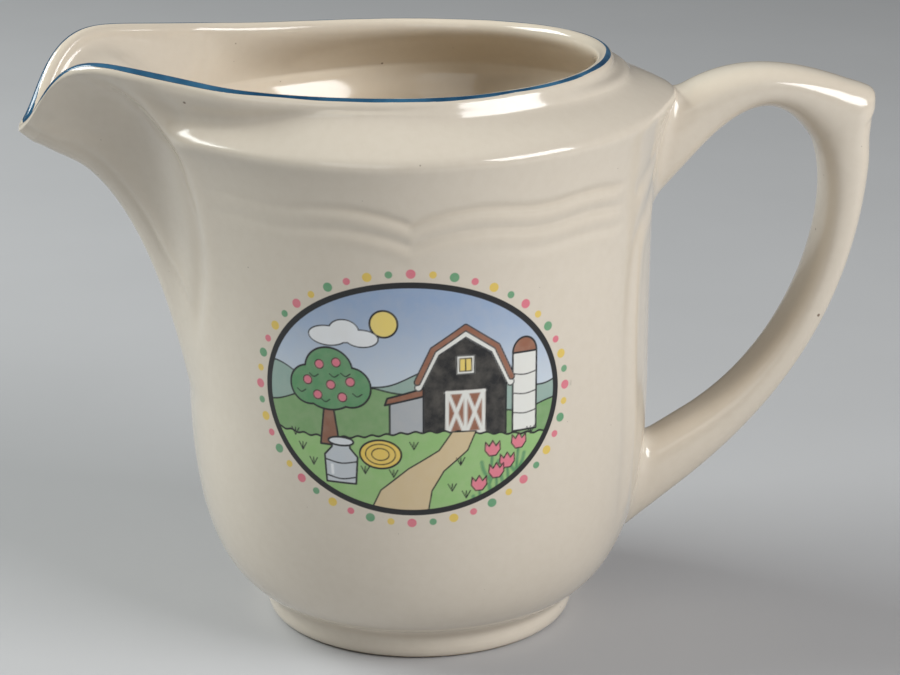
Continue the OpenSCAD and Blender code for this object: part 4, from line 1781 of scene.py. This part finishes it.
@dataclass(frozen=True)
class Lamp:
    """A soft lamp: its place and size in metres, its power in watts and its tint."""

    name: str
    place: Place
    size: tuple[float, float]
    power: float
    tint: Colour = (1.0, 1.0, 1.0)

    def hang(self, target: Place) -> None:
        """Hangs the lamp so that it faces a target."""
        light = bpy.data.lights.new(self.name, "AREA")
        light.shape = "RECTANGLE"
        light.size, light.size_y = self.size
        light.energy = self.power
        light.color = self.tint
        put(self.name, light, self.place, Vector(target) - Vector(self.place))


@dataclass(frozen=True)
class Studio:
    """A plain pale floor, soft lamps and the camera at the photograph's angle, in metres."""

    floor_colour: Colour = (0.48, 0.48, 0.49)
    floor_shade: float = 0.97
    floor_clouds: float = 18.0
    floor_rough: float = 0.75
    floor_reach: float = 3.0
    floor_drop: float = 0.00002
    floor_cells: int = 60
    world_colour: Colour = (0.97, 0.98, 1.0)
    world_level: float = 0.08
    lamps: Sequence[Lamp] = (
        Lamp("key", (0.65, -0.57, 0.58), (0.6, 0.45), 8.3),
        Lamp("left", (-0.72, 0.27, 0.64), (0.7, 0.4), 9.5, (0.955, 1.0, 0.985)),
        Lamp("front", (-0.45, -0.85, 0.55), (0.5, 0.5), 0.8, (0.97, 1.0, 0.99)),
    )
    camera_place: Place = (-0.06606, -0.45325, 0.1994)
    camera_way: Place = (0.14878, 0.93935, -0.30902)
    camera_lens: float = 107.12
    camera_sensor: float = 36.0
    camera_near: float = 0.01
    middle: Place = (0.0, 0.0, 0.055)

    def floor(self) -> None:
        """Lays the floor as a flat sheet, a hair below the foot."""
        side = np.linspace(-self.floor_reach, self.floor_reach, self.floor_cells) / MM
        x, y = np.meshgrid(side, side, indexing="xy")
        points = np.stack([x, y, np.full(x.shape, -self.floor_drop / MM)], -1).reshape(-1, 3)
        quads = grid_quads(self.floor_cells, self.floor_cells, wrap=False)
        piece = make_piece("floor", points, quads)
        graph = Graph("pale_floor")
        shade = tuple(self.floor_shade * c for c in self.floor_colour)
        clouds = graph.clouds(self.floor_clouds, 0.0, 1.0, 4.0)
        graph.feed(graph.shader.inputs["Base Color"], graph.mix(clouds, self.floor_colour, shade))
        graph.shader.inputs["Roughness"].default_value = self.floor_rough
        piece.data.materials.append(graph.material)

    def camera(self) -> None:
        """Sets the camera as the photograph's view was measured."""
        data = bpy.data.cameras.new("camera")
        data.lens = self.camera_lens
        data.sensor_width = self.camera_sensor
        data.clip_start = self.camera_near
        bpy.context.scene.camera = put("camera", data, self.camera_place, Vector(self.camera_way))

    def build(self) -> None:
        """Sets up floor, world, lamps and camera."""
        self.floor()
        world = bpy.data.worlds.new("world")
        world.use_nodes = True
        background = world.node_tree.nodes["Background"]
        background.inputs["Color"].default_value = (*self.world_colour, 1.0)
        background.inputs["Strength"].default_value = self.world_level
        bpy.context.scene.world = world
        for lamp in self.lamps:
            lamp.hang(self.middle)
        self.camera()
        bpy.context.scene.view_settings.view_transform = "Standard"


def main() -> None:
    """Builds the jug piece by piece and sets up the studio."""
    logging.basicConfig(level=logging.INFO, format="%(name)s: %(message)s")
    pot = Pot()
    glaze = IvoryGlaze().material()
    pot.build(glaze)
    Handle(pot=pot).build(glaze)
    Foot().build(BareClay().material())
    RimLine(pot=pot).build(CobaltLine().material())
    Picture(pot=pot).build(TransferPrint().material())
    Studio().build()


if __name__ == "__main__":
    main()
